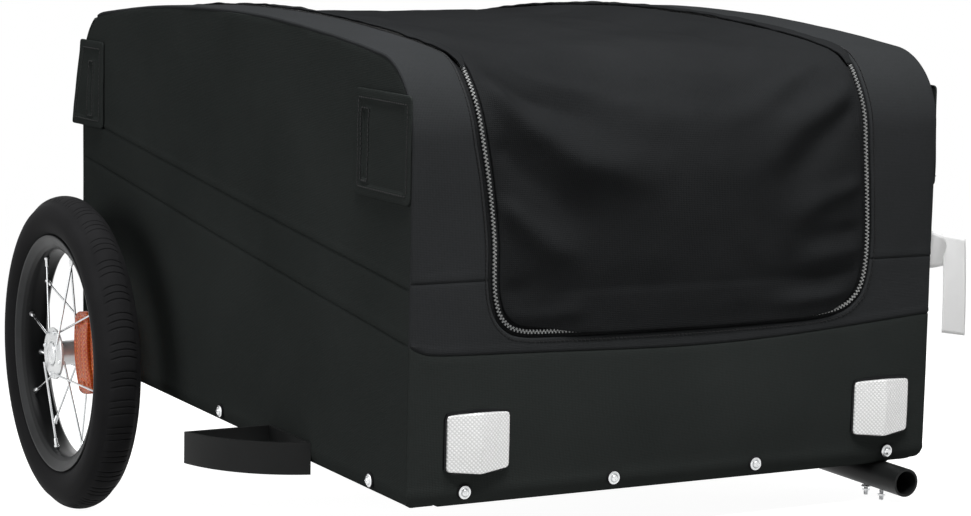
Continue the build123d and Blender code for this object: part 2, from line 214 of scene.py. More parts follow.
def addLamps():
    for name, values in lamps.items():
        data = bpy.data.lights.new(name, "AREA")
        data.shape = "RECTANGLE"
        data.size, data.size_y = values["size"]
        data.energy = values["power"]
        lamp = addObject(name, data)
        lamp.location = values["place"]
        way = Vector(values["aim"]) - Vector(values["place"])
        lamp.rotation_euler = way.to_track_quat("-Z", "Y").to_euler()


studio = {
    "fill": "#8f8f90", "fillStrength": 0.42, "ground": "#a9a9a8", "radius": 14.0,
    # the ground's lift under the trailer, and where it starts and ends on its way up to white
    "groundLift": 0.95, "liftFrom": 0.55, "liftTo": 1.6,
}


# 1 where the camera sees the thing itself, in a shiny face or through a lens
def seenDirectly(tree):
    rays = addNode(tree, "ShaderNodeLightPath")
    some = rays.outputs["Is Camera Ray"]
    for name in ("Is Glossy Ray", "Is Transmission Ray"):
        some = addMath(tree, "MAXIMUM", some, rays.outputs[name])
    return some


def addStudio():
    world = bpy.data.worlds.new("studio")
    bpy.context.scene.world = world
    world.use_nodes = True
    tree = world.node_tree
    tree.nodes.clear()
    seen = seenDirectly(tree)
    feeds = {"Color": linear(studio["fill"]), "Strength": studio["fillStrength"]}
    fill = addNode(tree, "ShaderNodeBackground", feeds=feeds)
    white = addNode(tree, "ShaderNodeBackground", feeds={"Color": linear("#ffffff"), "Strength": 1.0})
    mixed = addNode(tree, "ShaderNodeMixShader", feeds={0: seen, 1: fill, 2: white})
    addNode(tree, "ShaderNodeOutputWorld", feeds={"Surface": mixed})

    # pale ground: matt paint, lifted to white for the eye and still darker in shadow
    material, tree = startMaterial("matt studio paint")
    paint = addNode(tree, "ShaderNodeBsdfDiffuse", feeds={"Color": linear(studio["ground"])})
    place = addNode(tree, "ShaderNodeTexCoord").outputs["Object"]
    reach = addNode(tree, "ShaderNodeVectorMath", {"operation": "LENGTH"}, {0: place})
    level = addNode(tree, "ShaderNodeMapRange", {"interpolation_type": "SMOOTHSTEP"}, {
        "Value": reach.outputs["Value"], "From Min": studio["liftFrom"], "From Max": studio["liftTo"],
        "To Min": studio["groundLift"], "To Max": 1.0,
    })
    glow = addNode(tree, "ShaderNodeEmission", feeds={"Color": linear("#ffffff"), "Strength": level})
    dark = addNode(tree, "ShaderNodeEmission", feeds={"Strength": 0.0})
    lift = addNode(tree, "ShaderNodeMixShader", feeds={0: seenDirectly(tree), 1: dark, 2: glow})
    total = addNode(tree, "ShaderNodeAddShader", feeds={0: paint, 1: lift})
    # from below the ground is clear, so that the underside can be looked at
    under = addNode(tree, "ShaderNodeNewGeometry").outputs["Backfacing"]
    clear = addNode(tree, "ShaderNodeBsdfTransparent")
    either = addNode(tree, "ShaderNodeMixShader", feeds={0: under, 1: total, 2: clear})
    endMaterial(tree, either)
    bm = bmesh.new()
    bmesh.ops.create_circle(bm, cap_ends=True, segments=96, radius=studio["radius"])
    mesh = toMesh(bm, "ground")
    mesh.materials.append(material)
    ground = addObject("ground", mesh)


addCamera()
addLamps()
addStudio()
bpy.context.scene.view_settings.view_transform = "Standard"
print("camera, lamps and ground")

# Finishes

# Polyester oxford, woven from flat filament yarn and coated on the back: matt, with a fine
# even grain and a faint sheen at grazing angles. The yarn spacing is drawn coarser than the
# real 0.5 mm so that it still shows.
oxfords = {
    "coated oxford": {
        "dark": "#282b2a", "light": "#333635", "spacing": 0.0013, "rough": 0.8, "sheen": 0.0, "bump": 0.35
    },
    "band oxford": {
        "dark": "#292b2b", "light": "#353638", "spacing": 0.0013, "rough": 0.78, "sheen": 0.01, "bump": 0.35
    },
    # the zip's tape, a coarser and darker weave
    "zip tape": {
        "dark": "#0b0b0c", "light": "#2e2f30", "spacing": 0.0011, "rough": 0.85, "sheen": 0.0, "bump": 0.6
    },
    "cover oxford": {
        "dark": "#1e1f20", "light": "#28292a", "spacing": 0.0015, "rough": 0.75, "sheen": 0.0, "bump": 0.55
    },
}


# How far the yarns wander, the scales of the fuzz and of the patches of tone, the weave's share
# in the tone, the tone's own scale and the depth of the bumps
weave = {"wander": 0.6, "fuzz": 420.0, "patches": 7.0, "share": 0.35, "tone": 0.75, "depth": 0.0004}


def wovenCloth(name):
    values = oxfords[name]
    material, tree = startMaterial(name)
    flat = addNode(tree, "ShaderNodeUVMap", {"uv_map": "cloth"}).outputs["UV"]
    place = addNode(tree, "ShaderNodeTexCoord").outputs["Object"]
    warp, weft = (addRidges(tree, flat, way, values["spacing"], weave["wander"]) for way in "XY")
    fuzz = addNoise(tree, place, weave["fuzz"], 2.0)
    height = addMath(tree, "ADD", addMath(tree, "MULTIPLY", warp, weft), fuzz)
    patches = addNoise(tree, place, weave["patches"], 3.0)
    tone = addMath(tree, "MULTIPLY_ADD", height, weave["share"], patches)
    tone = addMath(tree, "MULTIPLY", tone, weave["tone"])
    colour = addRamp(tree, tone, [(0.2, values["dark"]), (0.85, values["light"])])
    endPrincipled(tree, {
        "Base Color": colour, "Roughness": values["rough"], "Specular IOR Level": 0.0,
        "Sheen Weight": values["sheen"], "Sheen Roughness": 0.4,
        "Normal": addBump(tree, height, values["bump"], weave["depth"]),
    })
    return material


# A finish whose colour and gloss drift a little, over a fine skin texture
def skinned(name, dark, light, rough, grain, depth, metallic=0.0, patch=14.0, **sockets):
    material, tree = startMaterial(name)
    place = addNode(tree, "ShaderNodeTexCoord").outputs["Object"]
    drift = addNoise(tree, place, patch, 4.0)
    gloss = addNode(tree, "ShaderNodeMapRange", feeds={
        "Value": drift, "From Min": 0.3, "From Max": 0.7, "To Min": rough - 0.05, "To Max": rough + 0.07,
    })
    endPrincipled(tree, {
        "Base Color": addRamp(tree, drift, [(0.3, dark), (0.7, light)]),
        "Roughness": gloss, "Metallic": metallic,
        "Normal": addBump(tree, addNoise(tree, place, 1 / grain, 2.0), 0.5, depth),
    }, sockets)
    return material


# Moulded prism lens: small corner cubes behind a smooth face, seen as a bright diamond lattice
def prismLens(name, dark, light, pitch, **sockets):
    material, tree = startMaterial(name)
    flat = addNode(tree, "ShaderNodeUVMap", {"uv_map": "cloth"}).outputs["UV"]
    feeds = {"Vector": flat, "Rotation": (0, 0, radians(45))}
    turned = addNode(tree, "ShaderNodeMapping", feeds=feeds).outputs[0]
    one, two = (addRidges(tree, turned, way, pitch, profile="TRI") for way in "XY")
    prisms = addMath(tree, "MULTIPLY", one, two)
    endPrincipled(tree, {
        "Base Color": addRamp(tree, prisms, [(0.08, dark), (0.45, light)]),
        "Roughness": 0.22, "IOR": 1.49, "Coat Weight": 0.6, "Coat Roughness": 0.05,
        "Normal": addBump(tree, prisms, 0.6, 0.0006),
    }, sockets)
    return material


finishes = {name: wovenCloth(name) for name in oxfords}
finishes.update({
    # spiral zip teeth in nickel-toned plastic, pale grey and shiny at the crowns
    "zip teeth": skinned(
        "nickel-toned zip teeth", "#6c6d6d", "#909190", 0.45, 0.002, 0.0001, metallic=0.35
    ),
    # bonded polyester thread, a shade glossier than the cloth
    "thread": skinned("bonded thread", "#0c0c0d", "#19191a", 0.6, 0.0006, 0.0002, Specular_IOR_Level=0.2),
    # powder-coated steel: black with soft orange peel, half gloss
    "powder coat": skinned(
        "black powder coat", "#151616", "#1f2020", 0.42, 0.0016, 0.00012, Specular_IOR_Level=0.12
    ),
    "board": skinned("black polypropylene board", "#17181a", "#212224", 0.55, 0.004, 0.0003),
    # zinc-plated screws and washers: bright, slightly milky
    "zinc": skinned(
        "bright zinc plate", "#b9bbbc", "#dedfe0", 0.26, 0.001, 0.00004, metallic=0.9, patch=160.0
    ),
    # stainless spokes, drawn bright
    "stainless": skinned(
        "drawn stainless wire", "#b4b6b8", "#d6d8d9", 0.2, 0.0015, 0.00002, metallic=1.0, patch=60.0
    ),
    # pressed and polished aluminium hub shell
    "hub alloy": skinned(
        "polished aluminium", "#d2d4d5", "#e8e9e9", 0.3, 0.002, 0.00004, metallic=0.55, patch=50.0
    ),
    # tyre rubber: carbon black, matt with a dusty cast
    "rubber": skinned(
        "tyre rubber", "#1d1d1e", "#252526", 0.66, 0.0022, 0.0002, patch=22.0, Specular_IOR_Level=0.02
    ),
    # rim barrel in black baked enamel
    "rim enamel": skinned(
        "black rim enamel", "#0d0e0f", "#191a1b", 0.36, 0.003, 0.00003, Specular_IOR_Level=0.12
    ),
    # rim lip: the same black enamel, drawn a lighter grey with a touch of metal as a painted reflection of
    # the pale surroundings
    "rim lip painted reflection": skinned(
        "satin rim lip painted reflection", "#1d1e1f", "#2b2c2d", 0.4, 0.001, 0.00004, metallic=0.25, patch=40.0,
        Specular_IOR_Level=0.12
    ),
    # satin woven label
    "satin label": skinned(
        "white satin label", "#eeeeee", "#fbfbfb", 0.5, 0.0007, 0.0001, Sheen_Weight=0.3
    ),
    "white lens": prismLens(
        "clear prism lens", "#d8d8d8", "#f6f6f6", 0.0024, Metallic=0.2, Coat_Weight=0.35
    ),
    "red lens": prismLens(
        "red prism lens", "#7c0806", "#cf1a12", 0.0024, Coat_Weight=0.1, Specular_IOR_Level=0.2
    ),
    # amber polycarbonate, which lets the pale background glow through
    "amber lens": prismLens(
        "amber prism lens", "#dc4806", "#ff9636", 0.0028, Transmission_Weight=0.45, Coat_Weight=0.15,
        Specular_IOR_Level=0.2
    ),
})
print("finishes")

# The box's shape, and cloth cut flat and then hung on it

shell = {
    "length": 0.724, "halfWidth": 0.2458, "floor": 0.1257, "corner": 0.34, "crown": 0.0255,
    "frontRadius": 0.065, "rearRadius": 0.06, "hem": 0.0143, "hemReach": 0.034,
    # how far the cloth hangs below the frame at the hem, and the half width that it is cut to
    "fall": 0.0035, "cutHalf": 0.2475,
    # how far the front face and the side walls swell
    "frontSwell": 0.0022, "sideSwell": 0.0015,
}
hemSteps = 16


# Section from the front hem up, over the arched top and down to the rear hem, as arrays of
# the way along it, x, z and the angle of its outside. On the front face the way along is
# the height above the underside.
def bandSection():
    half = shell["length"] / 2
    hem = shell["hem"]
    low = shell["floor"]
    arch = (half**2 + shell["crown"]**2) / (2 * shell["crown"])
    archZ = low + shell["corner"] + shell["crown"] - arch
    front, rear = shell["frontRadius"], shell["rearRadius"]
    frontZ = archZ + sqrt((arch - front)**2 - (half - front)**2)
    rearZ = archZ + sqrt((arch - rear)**2 - (half - rear)**2)
    meetFront = atan2(frontZ - archZ, half - front)
    meetRear = atan2(rearZ - archZ, rear - half)
    arcs = [
        (-hem, low + hem, hem, -pi / 2, 0, hemSteps), (-front, frontZ, front, 0, meetFront, 60),
        (-half, archZ, arch, meetFront, meetRear, 160), (rear - 2 * half, rearZ, rear, meetRear, pi, 60),
        (hem - 2 * half, low + hem, hem, pi, 1.5 * pi, hemSteps),
    ]
    rows = [(-shell["hemReach"], low, -pi / 2)]
    for x, z, radius, start, end, steps in arcs:
        rows += [(x + radius * cos(a), z + radius * sin(a), a) for a in np.linspace(start, end, steps)]
    rows.append((shell["hemReach"] - 2 * half, low, 1.5 * pi))
    x, z, angle = np.array(rows).T
    along = np.concatenate([[0], np.cumsum(np.hypot(np.diff(x), np.diff(z)))])
    along += hem - along[hemSteps]
    return along, x, z, angle


bandAlong, bandX, bandZ, bandAngle = bandSection()
frontEnd = bandAlong[hemSteps]


def alongAt(x):
    upper = slice(hemSteps + 1, len(bandX) - hemSteps - 2)
    return float(np.interp(-x, -bandX[upper], bandAlong[upper]))


def onBand(u, v, h):
    angle = np.interp(u, bandAlong, bandAngle)
    x = np.interp(u, bandAlong, bandX) + h * np.cos(angle)
    z = np.interp(u, bandAlong, bandZ) + h * np.sin(angle)
    return np.stack([x, v + 0 * x, z], axis=-1)


# How far the cloth stands off the hem's turn at a height above the underside
def hemFall(v):
    return shell["fall"] * np.sin(np.clip((shell["hem"] - v) / shell["hem"], 0, pi / 2))


# Side walls: u is x, v the height above the underside, and below the hem it turns under
def onSide(sign):
    hem = shell["hem"]

    def place(u, v, h):
        turn = np.clip((hem - v) / hem, 0, pi / 2)
        under = np.maximum(0, hem - v - hem * pi / 2)
        y = shell["halfWidth"] - hem + (hem + h) * np.cos(turn) - under
        z = shell["floor"] + np.maximum(v, hem) - (hem + h) * np.sin(turn)
        return np.stack([u + 0 * y, sign * y, z], axis=-1)

    return place


# How far along a path each of its points is
def runAlong(path):
    return np.concatenate([[0], np.cumsum(np.hypot(*np.diff(path, axis=0).T))])


def pathLength(path):
    return float(np.hypot(*np.diff(path, axis=0).T).sum())


# Even points on a smooth curve through a few
def smoothPath(points, spacing):
    points = np.array(points, float)
    ends = np.vstack([2 * points[0] - points[1], points, 2 * points[-1] - points[-2]])
    t = np.linspace(0, 1, 13)[:-1, None]
    runs = []
    for a, b, c, d in zip(ends[:-3], ends[1:-2], ends[2:-1], ends[3:]):
        square, cube = 2 * a - 5 * b + 4 * c - d, 3 * b - a - 3 * c + d
        runs.append(0.5 * (2 * b + (c - a) * t + square * t**2 + cube * t**3))
    curve = np.vstack(runs + [points[-1:]])
    run = runAlong(curve)
    even = np.linspace(0, run[-1], max(2, round(run[-1] / spacing)))
    return np.stack([np.interp(even, run, curve[:, k]) for k in range(2)], axis=-1)


# How far points lie from a path, positive on its left, and the way away from its right side
def fromPath(points, path):
    nearest = np.full(len(points), 1e9)
    signed = np.zeros(len(points))
    away = np.zeros((len(points), 2))
    place = np.zeros(len(points))
    run = 0.0
    for start, step in zip(path[:-1], np.diff(path, axis=0)):
        size = float(np.hypot(*step))
        if size < 1e-9:
            continue
        t = np.clip(((points - start) @ step) / size**2, 0, 1)
        gap = points - start - t[:, None] * step
        far = np.hypot(gap[:, 0], gap[:, 1])
        left = np.where(step[0] * gap[:, 1] - step[1] * gap[:, 0] >= 0, 1.0, -1.0)
        near = far < nearest - 1e-9
        nearest[near] = far[near]
        signed[near] = (left * far)[near]
        normal = np.array([-step[1], step[0]]) / size
        out = np.where(far[:, None] > 1e-5, left[:, None] * gap / np.maximum(far, 1e-5)[:, None], normal)
        away[near] = out[near]
        place[near] = (run + t * size)[near]
        run += size
    return signed, away, place


def cutTo(path):
    def distance(points):
        return fromPath(points, path)[:2]
    return distance


# Of two outlines the cloth keeps to both
def bothCuts(one, two):
    def distance(points):
        a, wayA = one(points)
        b, wayB = two(points)
        return np.maximum(a, b), np.where((a > b)[:, None], wayA, wayB)
    return distance


# Rolled edge of a panel, as (way out, drop) from its face: two steps out, then straight down
def rolled(out, drop, farOut, farDrop, depth):
    return (0.0, 0.0), (out, drop), (farOut, farDrop), (farOut, depth)


softEdge = rolled(0.0009, 0.0003, 0.0015, 0.0012, 0.003)


# A flat grid, with the row and the column of each of its points
def numberedGrid(rows, columns):
    bm = bmesh.new()
    bmesh.ops.create_grid(bm, x_segments=rows - 1, y_segments=columns - 1, size=0.5)
    spots = np.array([v.co.xy[:] for v in bm.verts])
    spots = (spots - spots.min(0)) / (spots.max(0) - spots.min(0))
    return bm, *(np.rint(spots[:, k] * (count - 1)).astype(int) for k, count in enumerate((rows, columns)))


# Cuts a panel from rows and columns, snaps its rim to the outline and rolls the rim over.
# The mesh is still flat, with its height above the surface in z.
def cutCloth(us, vs, distance, edge=softEdge, bend=None):
    bm, i, j = numberedGrid(len(us), len(vs))
    u, v = np.array(us)[i], np.array(vs)[j]
    if bend:
        u, v = bend(u, v)
    for vert, a, b in zip(bm.verts, u, v):
        vert.co = (a, b, 0)
    reach = edge[-1][0]
    centres = np.array([face.calc_center_median().xy[:] for face in bm.faces])
    outside = distance(centres)[0] > -reach
    bmesh.ops.delete(bm, geom=[face for face, out in zip(bm.faces[:], outside) if out], context="FACES")
    bmesh.ops.delete(bm, geom=[vert for vert in bm.verts if not vert.link_faces], context="VERTS")
    ring = [vert for vert in bm.verts if vert.is_boundary]
    for out, drop in edge:
        if out or drop:
            made = bmesh.ops.extrude_edge_only(bm, edges=[e for e in bm.edges if e.is_boundary])["geom"]
            ring = [g for g in made if isinstance(g, bmesh.types.BMVert)]
        flat = np.array([vert.co.xy[:] for vert in ring])
        far, away = distance(flat)
        flat += away * (out - reach - far)[:, None]
        for vert, spot in zip(ring, flat):
            vert.co = (spot[0], spot[1], -drop)
    return bm


# Gives a mesh its flat map, from the spot of each of its points
def mapCloth(bm, spotOf):
    layer = bm.loops.layers.uv.new("cloth")
    for face in bm.faces:
        for loop in face.loops:
            loop[layer].uv = spotOf(loop.vert)


# Keeps the flat pattern as the cloth's own map, adds its height and hangs it on the surface
def hangCloth(bm, place, height=None, flip=False):
    mapCloth(bm, lambda vert: vert.co.xy)
    flat = np.array([vert.co[:] for vert in bm.verts])
    rise = flat[:, 2] + (height(flat[:, 0], flat[:, 1]) if height else 0)
    for vert, spot in zip(bm.verts, place(flat[:, 0], flat[:, 1], rise)):
        vert.co = spot
    if flip:
        bmesh.ops.reverse_faces(bm, faces=bm.faces[:])


# Slow and fine ripples in each cloth, as (height, size, seed)
ripples = {
    "band": ((0.0008, 0.11, 3.1), (0.00025, 0.03, 7.7)),
    "rear": ((0.001, 0.12, 5.3), (0.0003, 0.03, 1.7)),
    "side_right": ((0.0009, 0.13, -11.0), (0.0003, 0.035, 4.0)),
    "side_left": ((0.0009, 0.13, 11.0), (0.0003, 0.035, 4.0)),
    "cover": ((0.0016, 0.075, 2.2), (0.0007, 0.022, 9.1)),
    "tab_right": ((0.0005, 0.02, -8.0),),
    "tab_left": ((0.0005, 0.02, 8.0),),
}


def ripple(u, v, name):
    return sum(
        height * np.array([noise.noise((a / size, b / size, seed)) for a, b in zip(u, v)])
        for height, size, seed in ripples[name]
    )


# 0 to 1 with a soft start and end
def ease(x):
    x = np.clip(x, 0, 1)
    return x * x * (3 - 2 * x)


# Turns a bmesh into a finished piece on a body
def finishPiece(bm, name, coats, body, slot, place=Matrix(), replaced=(), sharp=40, thick=0.0):
    bm.transform(park @ place)
    mesh = toMesh(bm, name)
    for coat in coats:
        mesh.materials.append(finishes[coat])
    mesh.shade_smooth()
    mesh.set_sharp_from_angle(angle=radians(sharp))
    piece = addObject(name, mesh)
    if thick:
        solid = piece.modifiers.new("thickness", "SOLIDIFY")
        solid.thickness = thick
        solid.offset = -1
    if body:
        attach(piece, body)
    if replaced:
        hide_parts(*replaced)
    return piece


# Where something sits on a surface: x along the way given, z out of the surface
def sitOn(place, u, v, way=(1, 0), h=0.0):
    step = 1e-4
    here = Vector(place(u, v, h))
    along = (Vector(place(u + way[0] * step, v + way[1] * step, h)) - here).normalized()
    out = (Vector(place(u, v, h + step)) - here).normalized()
    across = out.cross(along)
    return Matrix.Translation(here) @ Matrix((along, across, out)).transposed().to_4x4()


stitch = {"size": (0.0026, 0.0007, 0.0007), "pitch": 0.0038}


# A row of stitches along a path on a surface
def sewRow(bm, place, path, h=0.0):
    run = runAlong(path)

    def pathAt(spot):
        return [float(np.interp(spot, run, path[:, k])) for k in range(2)]

    for spot in np.arange(stitch["pitch"] / 2, run[-1], stitch["pitch"]):
        (u, v), ahead, back = (pathAt(spot + step) for step in (0, 0.001, -0.001))
        way = (ahead[0] - back[0], ahead[1] - back[1])
        size = hypot(*way) or 1
        lift = h(u, v) if callable(h) else h
        seat = sitOn(place, u, v, (way[0] / size, way[1] / size), lift)
        bmesh.ops.create_cube(bm, size=1, matrix=seat @ Matrix.Diagonal((*stitch["size"], 1)))


# A strip that follows a path on a surface; offsets run across it, to the path's left
def stripAlong(path, offsets, heights, place, narrow=None):
    bm, i, j = numberedGrid(len(path), len(offsets))
    way = np.gradient(path, axis=0)
    way /= np.hypot(*way.T)[:, None]
    left = np.stack([-way[:, 1], way[:, 0]], axis=-1)
    run = runAlong(path)
    width = narrow(run / run[-1]) if narrow else np.ones(len(run))
    flat = path[i] + left[i] * (np.array(offsets)[j] * width[i])[:, None]
    rise = np.array([heights(run[a] / run[-1], run[a], offsets[b]) for a, b in zip(i, j)])
    bm.verts.index_update()
    mapCloth(bm, lambda vert: (run[i[vert.index]], offsets[j[vert.index]]))
    for vert, spot in zip(bm.verts, place(flat[:, 0], flat[:, 1], rise)):
        vert.co = spot
    return bm


# Zip line, from the rear right corner of the cover round its front and back again
zipLine = {
    "points": mm((
        (1060, -186.5), (1000, -186.5), (900, -187), (760, -186.5), (620, -187.5), (500, -186.5),
        (400, -188), (350.5, -190.5), (325, -191), (291, -188), (253, -181), (206, -175), (170, -174),
        (150, -170), (139, -162), (133.3, -149), (131.5, -115), (130, 0), (131, 110), (134, 147),
        (141, 164), (155, 174.5), (183, 178.5), (224, 177), (283, 172.5), (320, 171), (345, 173),
        (400, 179), (500, 183), (620, 182), (760, 184), (900, 183), (1000, 183), (1060, 183),
    )),
    # from the middle of the teeth to the walls' cloth
    "gap": 0.005,
    # above this the flap hides the teeth
    "flapEnd": 0.342,
    "toothPitch": 0.0031,
    # setback of the cover's sewn edge, and the fold behind it
    "coverRear": 0.684,
    "fold": 0.004,
}
zipPath = smoothPath(zipLine["points"], 0.004)
coverRear = alongAt(-zipLine["coverRear"])
wallRear = alongAt(-zipLine["coverRear"] - zipLine["fold"])
zipPath = zipPath[(zipPath[:, 0] < coverRear + 0.03)]


# Half width of the band between the side walls; it narrows where the walls turn under
def bandHalf(u):
    z = np.interp(u, bandAlong, bandZ) - shell["floor"]
    low = np.clip(1 - z / shell["hem"], 0, 1)
    curl = np.sqrt(1 - low**2)
    half = shell["halfWidth"] + 0.0003 - shell["hem"] * (1 - curl) + shell["fall"] * low * curl
    return np.where(z < 0.0024, shell["halfWidth"] - shell["hemReach"] + 0.003, half)


# Outline of the band between two places along it, with the cloth on its right
def bandOutline(start, end):
    mid = bandAlong[(bandAlong > start) & (bandAlong < end)]
    along = np.concatenate([[start], mid, [end]])
    half = bandHalf(along)
    up = np.stack([along, half], axis=-1)
    down = np.stack([along, -half], axis=-1)[::-1]
    return np.vstack([down[-1:], up, down])


# Seam lines on the walls: height above the underside across the front, and at the front end
# of the side wall with its rise towards the rear
seams = {
    "front": mm((
        (-245.8, 126.2), (-237, 121.5), (-220, 118.3), (-141, 116), (3, 112.5), (114, 116), (245.8, 125.8)
    )),
    "upper": 0.1745,
    "sideLow": (0.1258, 0.1063),
    "sideHigh": (0.169, 0.0993),
    # the upper seam runs across the front's two ends only, from here outwards
    "upperFrom": 0.17,
    # a lapped seam's lip lies this far above its groove, and both are this wide
    "lipAt": 0.0016, "lipWidth": 0.0013, "grooveWidth": 0.0008,
    # the front face ends below this way along
    "faceEnd": 0.3,
    # the cloth's rows bend with the front seam between these heights
    "bend": ((0.02, 0.11, 0.1155, 0.16), (0, 1, 1, 0)),
}
frontSeam = smoothPath(seams["front"], 0.002)


# Rows with close ones at the seams, so that a seam is a crisp fold in the cloth
def rowsWith(start, end, cell, marks):
    stops = [start]
    for mark in marks:
        stops += [mark - 0.0022, mark - 0.0009, mark, mark + 0.0009, mark + 0.0022]
    stops.append(end)
    rows = []
    for a, b in zip(stops[:-1], stops[1:]):
        count = max(1, round((b - a) / cell))
        rows += list(np.linspace(a, b, count + 1)[:-1])
    return rows + [end]


# A lapped seam: the upper cloth ends in a soft lip over a groove
def seamRise(away, lip=0.0007, groove=0.0011):
    return (
        lip * np.exp(-((away - seams["lipAt"]) / seams["lipWidth"])**2)
        - groove * np.exp(-(away / seams["grooveWidth"])**2)
    )


def bendFront(u, v):
    shift = np.interp(v, frontSeam[:, 0], frontSeam[:, 1]) - seams["front"][4][1]
    weight = np.interp(u, *seams["bend"])
    return u + shift * weight, v


def bandRise(u, v):
    rise = ripple(u, v, "band")
    level = np.interp(v, frontSeam[:, 0], frontSeam[:, 1])
    face = u < seams["faceEnd"]
    rise += np.where(face, seamRise(u - level), 0)
    ends = np.abs(v) > seams["upperFrom"]
    rise += np.where(ends & face, seamRise(u - seams["upper"], 0.0005, 0.0009), 0)
    # cloth stands a little proud along the front face and draws in at the top corners
    swell = np.sin(pi * np.clip((u - 0.02) / 0.1, 0, 1)) * (1 - (v / 0.246)**2)
    rise += shell["frontSwell"] * swell
    rise *= ease((u - 0.004) / 0.02)
    return rise + hemFall(u)


def buildBand():
    lowMark = seams["front"][4][1]
    us = rowsWith(
        frontEnd - 0.0225 - shell["hemReach"] + shell["hem"], wallRear, 0.0042, (lowMark, seams["upper"])
    )
    vs = np.linspace(-shell["cutHalf"], shell["cutHalf"], 119)
    hole = cutTo(zipPath)

    def distance(points):
        far, away = hole(points)
        return zipLine["gap"] - far, -away

    outline = cutTo(bandOutline(bandAlong[0] + 0.0002, wallRear))
    bm = cutCloth(us, vs, bothCuts(outline, distance), bend=bendFront)
    for face in bm.faces:
        spot = face.calc_center_median()
        if spot.x < np.interp(spot.y, frontSeam[:, 0], frontSeam[:, 1]):
            face.material_index = 1
    hangCloth(bm, onBand, bandRise, flip=True)
    band = finishPiece(bm, "front_and_top_cloth", ["band oxford", "coated oxford"], "chassis", "cloth",
                       replaced=("front_wall", "top_band_left", "top_band_right"), thick=0.0011)
    us = rowsWith(wallRear, bandAlong[-1], 0.0055, ())
    bm = cutCloth(
        us, np.linspace(-shell["cutHalf"], shell["cutHalf"], 93),
        cutTo(bandOutline(wallRear, bandAlong[-1] - 0.0002))
    )

    def rearRise(u, v):
        rise = ripple(u, v, "rear")
        height = bandAlong[-1] + bandAlong[0] - u
        return rise * ease((height - 0.004) / 0.03) + hemFall(height)

    hangCloth(bm, onBand, rearRise, flip=True)
    rear = finishPiece(
        bm, "rear_cloth", ["coated oxford"], "chassis", "cloth", replaced=("rear_wall",), thick=0.0011
    )


def buildSides():
    hem = shell["hem"]
    low = hem - hem * pi / 2 - (shell["hemReach"] - hem)
    turned = np.linspace(low + 0.0002, hem, 12)
    curl = 1 - np.cos(np.clip((hem - turned) / hem, 0, pi / 2))
    upper = slice(hemSteps, len(bandX) - hemSteps - 1)
    top = np.stack([bandX[upper], bandZ[upper] - shell["floor"]], axis=-1)[::-1]
    inset = hem * curl - hemFall(turned) * (1 - curl)
    rearHem = np.stack([inset - shell["length"], turned], axis=-1)
    frontHem = np.stack([-inset, turned], axis=-1)[::-1]
    section = cutTo(np.vstack([rearHem, top, frontHem, rearHem[:1]]))

    # the front and top cloth wraps a little way round onto the side
    def outline(points):
        far, away = section(points)
        return far + 0.0022, away

    marks = (seams["sideLow"][0], seams["sideHigh"][0])
    slopes = (seams["sideLow"][1], seams["sideHigh"][1])
    rows = rowsWith(low - 0.001, 0.39, 0.0048, marks)
    columns = np.linspace(-shell["length"] - 0.002, 0.002, 153)

    def bend(u, v):
        stops = [0.03, *(mark + away for mark in marks for away in (-0.003, 0.003)), 0.38]
        slope = np.interp(v, stops, [0, slopes[0], slopes[0], slopes[1], slopes[1], 0])
        return u, v - u * slope

    wallEdge = rolled(0.0006, 0.0002, 0.001, 0.0008, 0.0025)
    for side, sign in sides.items():
        bm = cutCloth(columns, rows, outline, edge=wallEdge, bend=bend)

        def rise(u, v):
            out = ripple(u, v, f"side_{side}")
            for mark, slope in zip(marks, slopes):
                double = mark == marks[1]
                out += seamRise(v + u * slope - mark, 0.0008 if double else 0.0005)
            # the wall swells a little, and is held along its edges
            swell = np.sin(pi * np.clip(-u / shell["length"], 0, 1))
            out += shell["sideSwell"] * swell * ease(v / 0.1) * ease((0.36 - v) / 0.1)
            out *= ease((v - 0.002) / 0.02) * ease(-u / 0.012) * ease((u + shell["length"]) / 0.012)
            return out + hemFall(v)

        hangCloth(bm, onSide(sign), rise, flip=sign > 0)
        wall = finishPiece(bm, f"side_cloth_{side}", ["coated oxford"], "chassis", "cloth",
                           replaced=(f"side_wall_{side}",), thick=0.0011)


buildBand()
buildSides()
print("walls")

